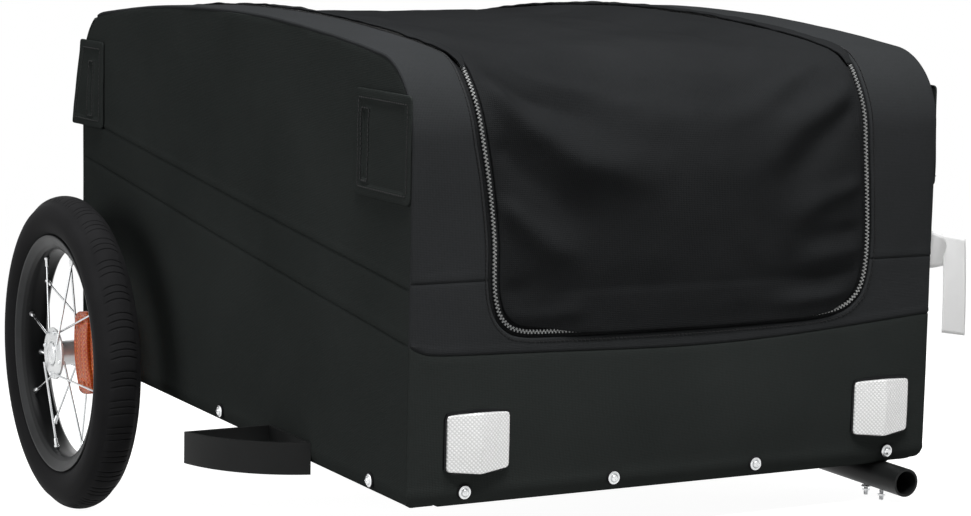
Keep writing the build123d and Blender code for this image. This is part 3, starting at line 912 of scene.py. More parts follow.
# Cover, sagging between the hoops and pulled into folds from its corners
cover = {
    "edgeGap": 0.0048,
    # how far the middle of the cloth hangs in from the hoops' line, along its length
    "sag": mm((
        (100, 0), (135, 1.8), (190, 2.8), (235, 2), (262, -1), (292, -9), (325, -16), (365, -12.5),
        (400, -4), (450, -5.5), (600, -9.5), (800, -8.5), (930, -3), (980, -1), (1020, 0),
    )),
    # folds, in millimetres: (height, half width), and the points along each
    "folds": (
        ((10.2, 18), (
            (332, -186), (324, -173), (308, -161), (294, -145), (284, -129), (268, -105), (262, -83),
            (256, -45), (254, 1)
        )),
        ((-3.4, 15), (
            (274, -186), (272, -165), (256, -147), (240, -125), (224, -103), (214, -80), (208, -50)
        )),
        ((6, 14), ((234, -184), (228, -165), (210, -143), (197, -123), (190, -100), (186, -75))),
        ((3.4, 14), ((366, -170), (358, -143), (340, -117), (324, -77), (312, -43), (304, -7), (296, 29))),
        ((4, 14), ((356, 152), (340, 118), (320, 92), (302, 62), (296, 29))),
        ((-3.6, 11), ((350, -178), (336, -155), (314, -125), (296, -83), (284, -47))),
        ((5.6, 16), ((332, 168), (316, 156), (300, 127), (280, 97), (260, 69), (252, 40))),
        ((-4.2, 14), ((306, 170), (296, 156), (268, 127), (244, 99), (224, 71))),
        ((3.3, 12), ((240, 176), (234, 155), (226, 129), (214, 99), (208, 75))),
        ((-2.6, 9), ((201, 178), (199, 155), (196, 131), (192, 101))),
        ((2.6, 9), ((184, 178), (182, 155), (179, 131), (180, 101))),
        ((-3.4, 9), ((166, 176), (164, 155), (160, 133), (159, 103), (158, 73))),
        ((3.6, 9), ((147, 172), (146, 155), (143, 133), (140, 103), (140, 73))),
        ((3, 10), ((148, -172), (141, -145), (143, -115), (150, -79))),
        ((-2.2, 10), ((166, -176), (166, -150), (172, -120))),
        ((3, 18), ((430, -150), (550, -135), (700, -130), (860, -140))),
        ((-2.8, 22), ((420, -90), (600, -80), (780, -70), (930, -90))),
        ((2.6, 24), ((420, 30), (560, 15), (750, 35), (920, 20))),
        ((-3, 20), ((410, 120), (550, 110), (720, 125), (900, 115))),
        ((2.4, 14), ((460, 155), (600, 150), (800, 158))),
    ),
    # along its foot the cloth laps over the zip
    "lap": mm((
        (-190, 0), (-158, 0), (-140, 1), (-120, 3.2), (-102, 6), (-80, 7), (50, 7), (115, 6.8), (145, 5.2),
        (160, 1.6), (168, 0), (190, 0)
    )),
    "lapRise": 0.0024,
    # the sag comes in over this way from the zip, and flattens this much towards the sides
    "sagFrom": 0.055, "sagFlat": 0.35, "halfWidth": 0.185,
    # a fold rises from the zip over this way
    "foldFrom": 0.016,
    # beside the zip it stays above the tape, by a floor that falls more steeply further in
    "floor": -0.0008, "floorFalls": ((0.0055, 0.45), (0.015, 40)),
    # it rests on the crossbars: height, half width of the rest, and the fall beside it
    "restTop": -0.0033, "restHalf": 0.0105, "restFall": 0.012,
    # setbacks of the two crossbars
    "bars": (0.078, 0.646),
}
coverSag = smoothPath(cover["sag"], 0.003)


def lapAt(u, v):
    return np.interp(v, *cover["lap"].T) * (u < 0.16)


def coverRise(u, v):
    points = np.stack([u, v], axis=-1)
    near = -cutTo(zipPath)(points)[0]
    rise = np.interp(u, *coverSag.T) * ease(near / cover["sagFrom"])
    rise *= 1 - cover["sagFlat"] * (v / cover["halfWidth"])**2
    for size, line in cover["folds"]:
        (height, width), path = mm(size), smoothPath(mm(line), 0.004)
        far, away, run = fromPath(points, path)
        t = run / pathLength(path)
        taper = ease(t / 0.12) * ease((1 - t) / 0.45) * (0.75 + 0.25 * ease(t / 0.4))
        spread = width * (0.5 + 0.85 * t)
        rise += height * taper * np.exp(-(far / spread)**2) * ease((near - 0.001) / cover["foldFrom"])
    rise += ripple(u, v, "cover") * ease(near / 0.02)
    falls = sum(fall * np.maximum(near - start, 0) for start, fall in cover["floorFalls"])
    rise = np.maximum(rise, cover["floor"] - falls)
    for setback in cover["bars"]:
        over = (u - alongAt(-setback)) / cover["restHalf"]
        rise = np.maximum(rise, cover["restTop"] - cover["restFall"] * over**2)
    rise += cover["lapRise"] * ease(lapAt(u, v) / 0.0065) * ease((0.175 - u) / 0.035)
    return rise


def buildCover():
    cell = 0.0031
    us = np.arange(0.11, coverRear + cell, cell)
    vs = np.linspace(-0.196, 0.19, 125)
    zipCut = cutTo(zipPath)

    def distance(points):
        far, away = zipCut(points)
        rear = points[:, 0] - coverRear + 0.0004
        lap = lapAt(points[:, 0], points[:, 1])
        side = far + cover["edgeGap"] - lap
        return np.maximum(side, rear), np.where((side > rear)[:, None], away, np.array([[1.0, 0.0]]))

    bm = cutCloth(us, vs, distance, edge=rolled(0.0009, 0.0002, 0.0014, 0.0009, 0.002))
    hangCloth(bm, onBand, coverRise, flip=True)
    piece = finishPiece(
        bm, "cover_cloth", ["cover oxford"], "cover", "cover_cloth", replaced=("cover",), thick=0.0009
    )


teeth = {
    "length": 0.0018, "width": 0.0012, "height": 0.0013, "slant": 0.35, "reach": 0.00072, "low": -0.0009,
}
tape = {
    "inner": 0.0002, "outer": 0.0132, "low": -0.0018,
    # it dips under the cloth from this far out, and is sewn to the wall's cloth here
    "dip": 0.0045, "dipFrom": 0.0045, "dipOver": 0.006, "stitches": 0.0076,
}


def tapeRise(t, run, off):
    return tape["low"] - tape["dip"] * float(ease((abs(off) - tape["dipFrom"]) / tape["dipOver"]))


# The two halves of the zip: teeth that mesh along the middle, on tapes under the cloth edges
def buildZip():
    fine = smoothPath(zipPath[::3], zipLine["toothPitch"])
    fine = fine[fine[:, 0] < coverRear - 0.001]
    halves = {"cover": (-1, "zip_cover_side"), "chassis": (1, "zip_wall_side")}
    for body, (hand, node) in halves.items():
        bm = bmesh.new()
        for index in range(1, len(fine) - 1):
            way = fine[index + 1] - fine[index - 1]
            way = way / np.hypot(*way)
            spot = fine[index] + way * (zipLine["toothPitch"] / 2 if hand > 0 else 0)
            u, v = spot + np.array([-way[1], way[0]]) * hand * teeth["reach"]
            seat = sitOn(onBand, u, v, tuple(way), teeth["low"] + teeth["height"] / 2)
            turn = Matrix.Rotation(teeth["slant"] * hand, 4, "Z")
            size = Matrix.Diagonal((teeth["width"], teeth["length"], teeth["height"], 1))
            bmesh.ops.create_cube(bm, size=1, matrix=seat @ turn @ size)
        finishPiece(bm, f"zip_teeth_{body}", ["zip teeth"], body, "zip")
        offsets = [hand * x for x in np.linspace(tape["inner"], tape["outer"], 10)]
        bm = stripAlong(fine[::2], offsets, tapeRise, onBand)
        if hand > 0:
            bmesh.ops.reverse_faces(bm, faces=bm.faces[:])
        strip = finishPiece(
            bm, f"zip_tape_{body}", ["zip tape"], body, "zip", replaced=(node,), thick=0.0006
        )
        length = pathLength(fine)

    # the row of stitches that holds the wall's cloth to its tape
    bm = bmesh.new()
    side = np.stack([-np.gradient(zipPath[:, 1]), np.gradient(zipPath[:, 0])], axis=-1)
    side /= np.hypot(*side.T)[:, None]
    row = zipPath + side * tape["stitches"]
    sewRow(bm, onBand, row[row[:, 0] < coverRear], 0.0003)
    finishPiece(bm, "zip_stitches", ["thread"], "chassis", "cloth")


# across the flap, inner edge first: how far out from the teeth, and how high
flap = {
    "across": mm((
        (-6.2, 0.4), (-5.8, 1.4), (-4.8, 1.9), (-3.6, 1.1), (-1.6, 1.2), (0.8, 1.2), (2.2, 1.2), (3.2, 2.1),
        (4, 1.7), (4.4, 0.4),
    )),
    "wander": 0.0016, "wave": 0.0009,
}


# The flap over the zip along the top, a folded strip with a corded edge on either side
def buildFlaps():
    for side, sign in sides.items():
        u, v = zipPath.T
        path = zipPath[(v * sign > 0) & (u > zipLine["flapEnd"]) & (u < coverRear - 0.004)]
        if sign < 0:
            path = path[::-1]
        # the path now runs from the front end to the rear on both sides
        wander = np.array([noise.noise((u / 0.035, 4.0 * sign, 0.5)) for u in path[:, 0]])
        path = path + np.stack([0 * wander, flap["wander"] * wander], axis=-1)
        path = smoothPath(path[::4], 0.003)
        lifts = {sign * out: lift for out, lift in flap["across"]}
        offsets = list(lifts)

        def heights(t, run, off):
            wave = flap["wave"] * noise.noise((run / 0.022, sign, off * 90))
            return (lifts[off] + wave) * (0.25 + 0.75 * ease(t / 0.02))

        bm = stripAlong(path, offsets, heights, onBand, narrow=lambda t: 0.35 + 0.65 * ease(t / 0.035))
        bmesh.ops.recalc_face_normals(bm, faces=bm.faces[:])
        piece = finishPiece(bm, f"zip_flap_{side}", ["cover oxford"], "cover", "cover_cloth", thick=0.0007)
        length = pathLength(path)


foldStrip = {"half": 0.182, "lap": 0.006, "low": -0.002}


# The sewn fold behind the cover: a strip of its cloth between the cover's sewn edge and the rear wall's
# cloth
def buildFold():
    start, end = coverRear - foldStrip["lap"], wallRear + foldStrip["lap"]
    path = np.stack([np.full(61, end), np.linspace(-foldStrip["half"], foldStrip["half"], 61)], axis=-1)
    offsets = list(np.linspace(0, end - start, 13))
    bm = stripAlong(path, offsets, lambda t, run, off: foldStrip["low"], onBand)
    bmesh.ops.recalc_face_normals(bm, faces=bm.faces[:])
    piece = finishPiece(bm, "cover_fold_cloth", ["cover oxford"], None, "cover_cloth")
    fixed, moving = (park @ Vector(onBand(u, 0.0, 0.0)) for u in (wallRear, coverRear))
    tuple(fixed)
    tuple(moving)
    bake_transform(piece)


buildCover()
buildZip()
buildFlaps()
buildFold()
print("cover and zip")

# Tabs, tag, reflectors and screws on the walls
tabs = {
    "front": {
        "x": (-0.098, -0.0034), "z": (0.234, 0.318), "slot": (-0.086, -0.073, 0.246, 0.303),
        "bow": {"right": 0.0012, "left": 0.015}
    },
    "rear": {
        "x": (-0.741, -0.663), "z": (0.234, 0.318), "slot": (-0.699, -0.686, 0.245, 0.298),
        "bow": {"right": 0.0025, "left": 0.0025},
        # the rear edge at its head, which lies further forward, and its stitches there
        "head": -0.7255, "stitchHead": -0.716,
    },
    # width of the bound edge, its height over the tab, and the tab's rounded corners
    "edge": 0.0085, "bind": 0.0012, "corner": 0.004,
    # how far it stands off the wall, the rim round its slot as (height, width), and the slot's depth
    "stand": 0.0016, "slotRim": (0.0011, 0.0013), "slotDepth": 0.0008,
}


def ridge(x, at, width):
    return np.exp(-((x - at) / width)**2)


# Closed outline through corner points, each corner rounded off
def roundedOutline(points, corner, steps):
    outline = []
    for before, here, after in zip(points[-1:] + points[:-1], points, points[1:] + points[:1]):
        a, b, c = (Vector(p) for p in (before, here, after))
        one, two = b + (a - b).normalized() * corner, b + (c - b).normalized() * corner
        outline += [tuple(one.lerp(b, t).lerp(b.lerp(two, t), t)) for t in np.linspace(0, 1, steps)]
    return np.array(outline + outline[:1])


# A stitched tab with a bound edge and an upright slot
def buildTab(place, side, sign):
    values = tabs[place]
    (back, front), (low, high) = values["x"], values["z"]
    if place == "rear":
        # the rear tab flares out past the corner towards its foot
        points = [(back + 0.001, low), (values["head"], high), (front, high), (front, low)]
    else:
        points = [(back, low), (back, high), (front, high), (front, low)]
    us, vs = np.linspace(back - 0.002, front + 0.002, 61), np.linspace(low - 0.002, high + 0.002, 56)
    cut = cutTo(roundedOutline(points, tabs["corner"], 6))
    slotBack, slotFront, slotLow, slotHigh = values["slot"]

    def rise(u, v):
        inside = -cut(np.stack([u, v], axis=-1))[0]
        bound = tabs["bind"] * (1 - ease((inside - tabs["edge"] + 0.001) / 0.002))
        if place == "front":
            bound = bound * (1 - ease((u + 0.012) / 0.008))
        out = tabs["stand"] + bound
        edge = np.maximum(np.maximum(slotBack - u, u - slotFront), np.maximum(slotLow - v, v - slotHigh))
        rimHeight, rimWidth = tabs["slotRim"]
        out += rimHeight * ridge(edge, 0.0, rimWidth) - tabs["slotDepth"] * (edge < -0.0015)
        tall = np.clip((high - v) / (high - low), 0, 1)
        bow = np.sin(pi * np.clip((u - back) / (front - back), 0.02, 0.98))
        out += values["bow"][side] * bow**0.7 * ease(tall * 1.2)
        if place == "rear":
            out += 0.003 * ease((-0.715 - u) / 0.03) * tall
        return out + ripple(u, v, f"tab_{side}")

    bm = cutCloth(us, vs, cut, edge=rolled(0.0006, 0.0002, 0.0009, 0.0009, 0.0016))
    hangCloth(bm, onSide(sign), rise, flip=sign > 0)
    piece = finishPiece(
        bm, f"{place}_tab_cloth_{side}", ["coated oxford"], "chassis", "cloth",
        replaced=(f"{place}_tab_{side}",), thick=0.0009
    )

    # stitches round the bound edge and the slot
    inset = tabs["edge"] - 0.0015
    foot, head = low + inset, high - inset
    box = [(back + inset, foot), (back + inset, head), (front - 0.004, head), (front - 0.004, foot)]
    if place == "rear":
        box = [
            (front - inset, foot), (front - inset, head), (values["stitchHead"], head),
            (back + inset + 0.002, foot)
        ]
    ring = [(slotBack, slotLow), (slotBack, slotHigh), (slotFront, slotHigh), (slotFront, slotLow)]
    bm = bmesh.new()

    def lift(u, v):
        return float(rise(np.array([u]), np.array([v]))[0]) + 0.0001

    for corners in (box, ring):
        for a, b in zip(corners, corners[1:] + corners[:1]):
            count = max(3, round(hypot(b[0] - a[0], b[1] - a[1]) / 0.004))
            row = np.stack([np.linspace(a[0], b[0], count), np.linspace(a[1], b[1], count)], axis=-1)
            sewRow(bm, onSide(sign), row, lift)
    finishPiece(bm, f"{place}_tab_stitches_{side}", ["thread"], "chassis", "cloth")


for side, sign in sides.items():
    for place in ("front", "rear"):
        buildTab(place, side, sign)

tag = {
    "x": -0.0096, "top": 0.191, "ribbon": 0.027, "stand": 0.02, "width": 0.0245, "foot": 0.106,
    # the ribbon's bow forward and its droop, and the label's wave and its curl
    "bow": 0.01, "droop": 0.018, "wave": 0.002, "curl": 0.0012,
}


# Blank woven tag: a ribbon out of the corner seam, and the label that hangs from it
def buildTag():
    base = shell["floor"]
    bm = bmesh.new()
    bmesh.ops.create_grid(bm, x_segments=18, y_segments=8, size=0.5)
    bmesh.ops.create_grid(bm, x_segments=12, y_segments=30, size=0.5, matrix=Matrix.Translation((2, 0, 0)))
    mapCloth(bm, lambda vert: (vert.co.x * 0.03, vert.co.y * 0.08))
    for vert in bm.verts:
        a, b = vert.co.x + 0.5, vert.co.y + 0.5
        if vert.co.x < 1:
            # ribbon: bows forward on its way out of the seam
            y = shell["halfWidth"] - 0.003 + a * (tag["stand"] + 0.01)
            x = tag["x"] + tag["bow"] * sin(pi * a) * (0.4 + 0.6 * b) - 0.003 * a
            high = base + tag["top"] + 0.005 - tag["droop"] * a**1.8
            low = base + tag["top"] - tag["ribbon"] - 0.002 + 0.002 * a
            z = low + (high - low) * b
        else:
            a -= 2
            y = shell["halfWidth"] + tag["stand"] - 0.002 + a * tag["width"] + 0.003 * (1 - b)
            x = tag["x"] + 0.0012 + tag["wave"] * sin(2.4 * b + 0.6) + tag["curl"] * sin(pi * a) * b
            z = base + tag["foot"] + (tag["top"] - tag["foot"] - 0.005 * a) * b - 0.004 * a * (1 - b)
        vert.co = (x, y, z)
    piece = finishPiece(
        bm, "blank_tag_cloth", ["satin label"], "chassis", "tag_cloth", replaced=("blank_tag",),
        thick=0.0005
    )


buildTag()

reflectors = {
    "width": 0.055, "height": 0.044, "low": 0.027, "base": 0.0035, "ridge": 0.0105, "corner": 0.003,
    "bulge": (0.0018, 0.0026),
    # from the box's sides to the middles of the lenses, and the fall of a front lens to its ends
    "inset": {"right": 0.059, "left": 0.048}, "rearInset": 0.056, "crown": 0.1,
    # heights of the thin beds under the front and the rear lenses
    "frontBed": 0.0022, "rearBed": 0.0038,
    # the rear lens's dome, and how far it falls towards its sides and its ends
    "dome": (0.0068, 0.0016, 0.001),
}


# A flat shape with rounded corners and a rolled rim, ready to be given a height
def lensShape(width, height, corner, rows, columns, rim, bulge=(0, 0)):
    x, y = width / 2, height / 2
    points = [(-x, -y), (-x, y), (x, y), (x, -y)]
    if any(bulge):
        # taller in the middle, where the two faces meet
        points.insert(2, (0.0, y + bulge[0]))
        points.append((0.0, -y - bulge[1]))
    cut = cutTo(roundedOutline(points, corner, 7))
    levels = np.linspace(-y - bulge[1], y + bulge[0], rows)
    return cutCloth(np.linspace(-x, x, columns), levels, cut, edge=rim)


# A lens or its bed, cut to a shape, given its height and set in its place
def setLens(name, coat, slot, place, shape, height, **more):
    bm = lensShape(*shape)
    hangCloth(bm, place, height)
    finishPiece(bm, name, [coat], "chassis", slot, **more)


# Front reflectors: two prism faces that meet in an upright ridge, in a thin moulded rim.
# Rear ones: a shallow dome.
def buildReflectors():
    values = reflectors
    width, height, bulge = values["width"], values["height"], values["bulge"]
    level = shell["floor"] + values["low"] + height / 2

    def roof(u, v):
        peak = values["ridge"] - (values["ridge"] - values["base"]) * np.abs(u) / (width / 2)
        return peak * (1 - values["crown"] * (2 * v / height)**2)

    def dome(u, v):
        top, sideways, endways = values["dome"]
        return top - sideways * (2 * u / width)**2 - endways * (2 * v / height)**2

    for side, sign in sides.items():
        y = sign * (shell["halfWidth"] - values["inset"][side])

        def ahead(u, v, h):
            return np.stack([h + 0 * u, y + u, level + v], axis=-1)

        edge = rolled(0.0004, 0.0002, 0.0008, 0.0009, 0.0034)
        shape = (width, height, values["corner"], 33, 41, edge, bulge)
        setLens(f"front_lens_{side}", "white lens", "white_lens", ahead, shape, roof,
                replaced=(f"front_reflector_{side}",), sharp=20)
        edge = rolled(0.0006, 0.0002, 0.001, 0.001, 0.0024)
        shape = (width + 0.004, height + 0.004, 0.004, 9, 9, edge, bulge)
        setLens(f"front_lens_bed_{side}", "rim enamel", "white_lens", ahead, shape,
                lambda u, v: values["frontBed"] + 0 * u)
    for side, sign in sides.items():
        y = sign * (shell["halfWidth"] - values["rearInset"])

        def behind(u, v, h):
            return np.stack([-shell["length"] - h + 0 * u, y - u, level + v], axis=-1)

        edge = rolled(0.0004, 0.0002, 0.0008, 0.0009, 0.0052)
        shape = (width - 0.003, height - 0.003, 0.005, 25, 31, edge)
        setLens(f"rear_lens_{side}", "red lens", "red_lens", behind, shape, dome,
                replaced=(f"rear_reflector_{side}",), sharp=20)
        edge = rolled(0.0008, 0.0002, 0.0012, 0.0012, 0.004)
        shape = (width, height, 0.006, 9, 9, edge)
        setLens(f"rear_lens_bed_{side}", "rim enamel", "red_lens", behind, shape,
                lambda u, v: values["rearBed"] + 0 * u)


buildReflectors()


# Solid of revolution about local Z from (radius, height) points
def turnedPiece(profile, steps=32):
    bm = bmesh.new()
    verts = [bm.verts.new((r, 0, z)) for r, z in profile]
    edges = [bm.edges.new(pair) for pair in zip(verts[:-1], verts[1:])]
    bmesh.ops.spin(
        bm, geom=verts + edges, cent=(0, 0, 0), axis=(0, 0, 1), angle=2 * pi, steps=steps, use_merge=True
    )
    bmesh.ops.remove_doubles(bm, verts=bm.verts[:], dist=1e-6)
    bmesh.ops.recalc_face_normals(bm, faces=bm.faces[:])
    return bm


# Adds the faces of one bmesh to another's
def join(target, source):
    mesh = toMesh(source, "part")
    target.from_mesh(mesh)
    bpy.data.meshes.remove(mesh)


# Copies of one small bmesh, each in its own place
def scatter(source, matrices):
    mesh = toMesh(source, "part")
    bm = bmesh.new()
    for matrix in matrices:
        count = len(bm.verts)
        bm.from_mesh(mesh)
        bm.verts.ensure_lookup_table()
        bmesh.ops.transform(bm, matrix=matrix, verts=bm.verts[count:])
    bpy.data.meshes.remove(mesh)
    return bm


wallScrew = {
    "washers": mm(((0, 0.5), (3, 0.6), (3.8, 1.2), (4.7, 1.1), (5.3, 0.6), (5.4, -0.4))),
    "screws": mm(((0, 3), (1.2, 3), (2.2, 2.6), (2.9, 1.8), (3.1, 0.8), (3.1, 0.4))),
    "grommets": mm(((4.6, 0.2), (5, 0.6), (6, 0.7), (6.4, 0.4), (6.6, -0.4))),
    "stand": 0.001,
    "height": 0.0095,
    "frontY": (-0.197, -0.062, 0.074, 0.207),
    "rearY": (-0.2, -0.067, 0.067, 0.2),
    "sideX": (-0.066, -0.369, -0.671),
}


# Screws with cup washers through the lower hem into the frame
def buildWallScrews():
    hem = shell["hem"]
    rear = bandAlong[-1] + bandAlong[0] - hem
    seats = [sitOn(onBand, hem, y, h=wallScrew["stand"]) for y in wallScrew["frontY"]]
    seats += [sitOn(onBand, rear, y, h=wallScrew["stand"]) for y in wallScrew["rearY"]]
    for sign in sides.values():
        seats += [sitOn(onSide(sign), x, hem, h=wallScrew["stand"]) for x in wallScrew["sideX"]]
    seats = [Matrix.Translation((0, 0, wallScrew["height"] - hem)) @ seat for seat in seats]
    for name, steps, coat in (("washers", 28, "zinc"), ("grommets", 28, "rubber"), ("screws", 20, "zinc")):
        bm = turnedPiece(wallScrew[name], steps)
        if name == "screws":
            # cross recess
            for turn in (0, pi / 2):
                slot = Matrix.Translation((0, 0, 0.003)) @ Matrix.Diagonal((0.0034, 0.0006, 0.0006, 1))
                bmesh.ops.create_cube(bm, size=1, matrix=Matrix.Rotation(turn, 4, "Z") @ slot)
        finishPiece(scatter(bm, seats), f"wall_{name}", [coat], "chassis", "bright_steel")


buildWallScrews()
print("tabs, tag, reflectors and screws")

# Wheels, drawn about their own Z, which points outboard
tyre = {
    "radius": 0.15, "section": 0.0424, "pitches": 140, "lug": 0.0007, "shoulder": 0.8, "bar": 0.0057,
    "reach": 0.0165, "sweep": 0.004,
    # how far round the section its skin goes, and its moulded rings: angles, height and width
    "turn": 2.55, "rings": (1.42, 1.5, 2.02, 2.1), "ringHeight": 0.0005, "ringWidth": 0.022,
}
rim = {"lip": 0.113, "half": 0.017, "inner": 0.1, "well": 0.103}
spokes = {
    # radii of their ends, the flange's height and the angle by which a spoke leads
    "count": 16, "lead": 45, "rim": 0.0994, "hub": 0.021, "flange": 0.016,
    # how far off the flange a spoke laced from outside and one from inside leave, and their heads
    "outside": 0.0036, "inside": -0.0028, "head": 0.0018,
    # how far the nipples stand to either side of the rim's middle
    "nipple": 0.005,
}


def wheelPlace(sign):
    turn = Matrix(((1, 0, 0, 0), (0, 0, sign, 0), (0, -sign, 0, 0), (0, 0, 0, 1)))
    lacing = Matrix.Rotation(-sign * axle["turn"], 4, "Z")
    return Matrix.Translation((axle["x"], sign * axle["wheelY"], axle["z"])) @ turn @ lacing


# Finishes a piece of one wheel
def finishOnWheel(bm, name, coats, slot, side, **more):
    return finishPiece(bm, f"{name}_{side}", coats, f"wheel_{side}", slot, wheelPlace(sides[side]), **more)


def buildTyre(side):
    minor = tyre["section"] / 2
    middle = tyre["radius"] - minor
    profile = []
    for roll in np.linspace(-tyre["turn"], tyre["turn"], 53):
        skin = minor - tyre["lug"] * (1 - float(ease((abs(roll) - tyre["shoulder"]) / 0.2)))
        # moulded rings on the sidewall
        for ring in tyre["rings"]:
            skin += tyre["ringHeight"] * ridge(abs(roll), ring, tyre["ringWidth"])
        profile.append((middle + skin * cos(roll), skin * sin(roll)))
    lip, well = rim["lip"] - 0.002, rim["well"] + 0.002
    bead = [(lip, 0.0146), (well, 0.0098), (well, -0.0098), (lip, -0.0146)]
    bm = turnedPiece(profile + bead + profile[:1], 128)
    finishOnWheel(bm, "tyre_carcass", ["rubber"], "tyre", side, replaced=(f"tyre_{side}",), sharp=50)

    # tread: curved bars across the crown with narrow grooves between, every third one wide
    step = 2 * pi / tyre["pitches"]
    bars = bmesh.new()
    for wide in (False, True):
        length = tyre["bar"] + (step * tyre["radius"] if wide else 0)
        edge = rolled(0.0003, 0.0001, 0.0005, 0.0005, 0.0012)
        bm = lensShape(2 * tyre["reach"], length, 0.0014, 5, 19, edge)
        for vert in bm.verts:
            across, along, height = vert.co
            # its ends run out into the shoulder
            out = across / tyre["reach"]
            skin = minor + height - 1.2 * tyre["lug"] * float(ease((abs(out) - 0.6) / 0.4))
            roll = across / minor
            reach = middle + skin * cos(roll)
            # each bar sweeps back towards its ends
            angle = (along - tyre["sweep"] * out**2) / tyre["radius"]
            vert.co = (reach * cos(angle), reach * sin(angle), skin * sin(roll))
        starts = np.arange(0, tyre["pitches"], 4)
        turns = [k + 2.5 for k in starts] if wide else [k + extra for k in starts for extra in (0, 1)]
        join(bars, scatter(bm, [Matrix.Rotation(step * k, 4, "Z") for k in turns]))
    finishOnWheel(bars, "tyre_tread", ["rubber"], "tyre", side, sharp=75)


def buildRim(side):
    lip, half, inner, well = rim["lip"], rim["half"], rim["inner"], rim["well"]
    outer = [
        (well, 0.0), (well, half - 0.0078), (lip - 0.0034, half - 0.0026), (lip - 0.0012, half - 0.0024),
        (lip - 0.0001, half - 0.0018), (lip + 0.0003, half - 0.0008), (lip - 0.0002, half + 0.0001),
        (lip - 0.0014, half + 0.0002), (lip - 0.003, half - 0.0005), (inner + 0.0046, half - 0.003),
        (inner + 0.0034, half - 0.0036), (inner + 0.0028, half - 0.0044), (inner + 0.0006, half - 0.0056),
        (inner, half - 0.0064), (inner - 0.0004, 0.003), (inner - 0.0004, 0.0),
    ]
    profile = outer + [(r, -z) for r, z in reversed(outer[:-1])]
    bm = turnedPiece(profile, 128)
    # faces on the outer lip take the second finish, a lighter grey that paints the lip's reflection
    for face in bm.faces:
        radius = face.calc_center_median().xy.length
        high = abs(face.calc_center_median().z)
        face.material_index = 1 if radius > inner + 0.0034 and high > half - 0.0036 else 0
    finishOnWheel(
        bm, "rim_hoop", ["rim enamel", "rim lip painted reflection"], "rim", side, replaced=(f"rim_{side}",), sharp=35
    )

    # plated nipples where the spokes meet the rim
    bm = turnedPiece(mm((
        (0, -1.2), (2.1, -1), (2.7, 0), (2.7, 1.2), (1.9, 2.6), (1.7, 8.5), (1.1, 9.2), (0, 9.2)
    )), 12)
    seats = []
    for number in range(spokes["count"]):
        turn, flange, outside = lacing(number)
        angle = radians(turn + (1 if outside else -1) * spokes["lead"])
        spot = Vector((spokes["rim"] * cos(angle), spokes["rim"] * sin(angle), spokes["nipple"] * flange))
        seats.append(pointed(spot, hubEnd(number) - spot))
    finishOnWheel(scatter(bm, seats), "nipples", ["zinc"], "bright_steel", side)


# A spoke's turn in degrees, its flange, 1 for the outboard one, and whether it is laced from
# outside the flange, as two in four are
def lacing(number):
    return 360 * number / spokes["count"], 1 if number % 2 else -1, number % 4 < 2


# A place whose Z looks a given way
def pointed(spot, way):
    return Matrix.Translation(spot) @ way.to_track_quat("Z", "Y").to_matrix().to_4x4()


# Where a spoke meets the hub
def hubEnd(number):
    turn, flange, outside = lacing(number)
    angle = radians(turn)
    skin = spokes["outside" if outside else "inside"]
    reach = spokes["hub"]
    return Vector((reach * cos(angle), reach * sin(angle), flange * (spokes["flange"] + skin)))


def buildHub(side):
    profile = [
        (6.05, 16.6), (11.2, 16.6), (11.6, 17.6), (12.1, 18.3), (13, 18.4), (13.6, 17.8), (16.5, 17.5),
        (24, 17.5), (24.8, 17), (25, 16), (24.8, 15), (24, 14.5), (16.5, 14.3), (14.2, 13.6), (12.8, 12),
        (12, 9), (11.7, 4), (11.7, 0),
    ]
    back = [(r, -z) for r, z in reversed(profile[5:-1])] + [
        (12.8, -18.5), (12.4, -27), (11.2, -28.8), (6.05, -29)
    ]
    bm = turnedPiece(mm(profile + back + profile[:1]), 56)
    finishOnWheel(bm, "hub_shell", ["hub alloy"], "hub", side, replaced=(f"hub_{side}",), sharp=30)
    bm = turnedPiece(mm((
        (0, 1.6), (0.9, 1.5), (1.9, 0.9), (2.3, 0), (2.1, -0.8), (1.1, -2), (0, -2)
    )), 12)
    seats = []
    for number in range(spokes["count"]):
        end = hubEnd(number)
        flange, outside = lacing(number)[1:]
        # a spoke laced from outside has its head on the inside of the flange, and the other way round
        up = -flange if outside else flange
        level = flange * spokes["flange"] + up * spokes["head"]
        seats.append(pointed((end.x, end.y, level), Vector((0, 0, up))))
    finishOnWheel(scatter(bm, seats), "spoke_heads", ["stainless"], "bright_steel", side)


amber = {
    "width": 0.034, "height": 0.078, "reach": 0.048, "bosses": (-0.0295, 0.0295),
    # half the gap between the shells, a shell's height, and its fall to the sides and the ends
    "gap": 0.0009, "crown": (0.0066, 0.0012, 0.0036), "rib": 0.0011,
    # radius and height of the bosses, and of the holes in them
    "boss": (0.0048, 0.0016), "hole": (0.0022, 0.0022),
}


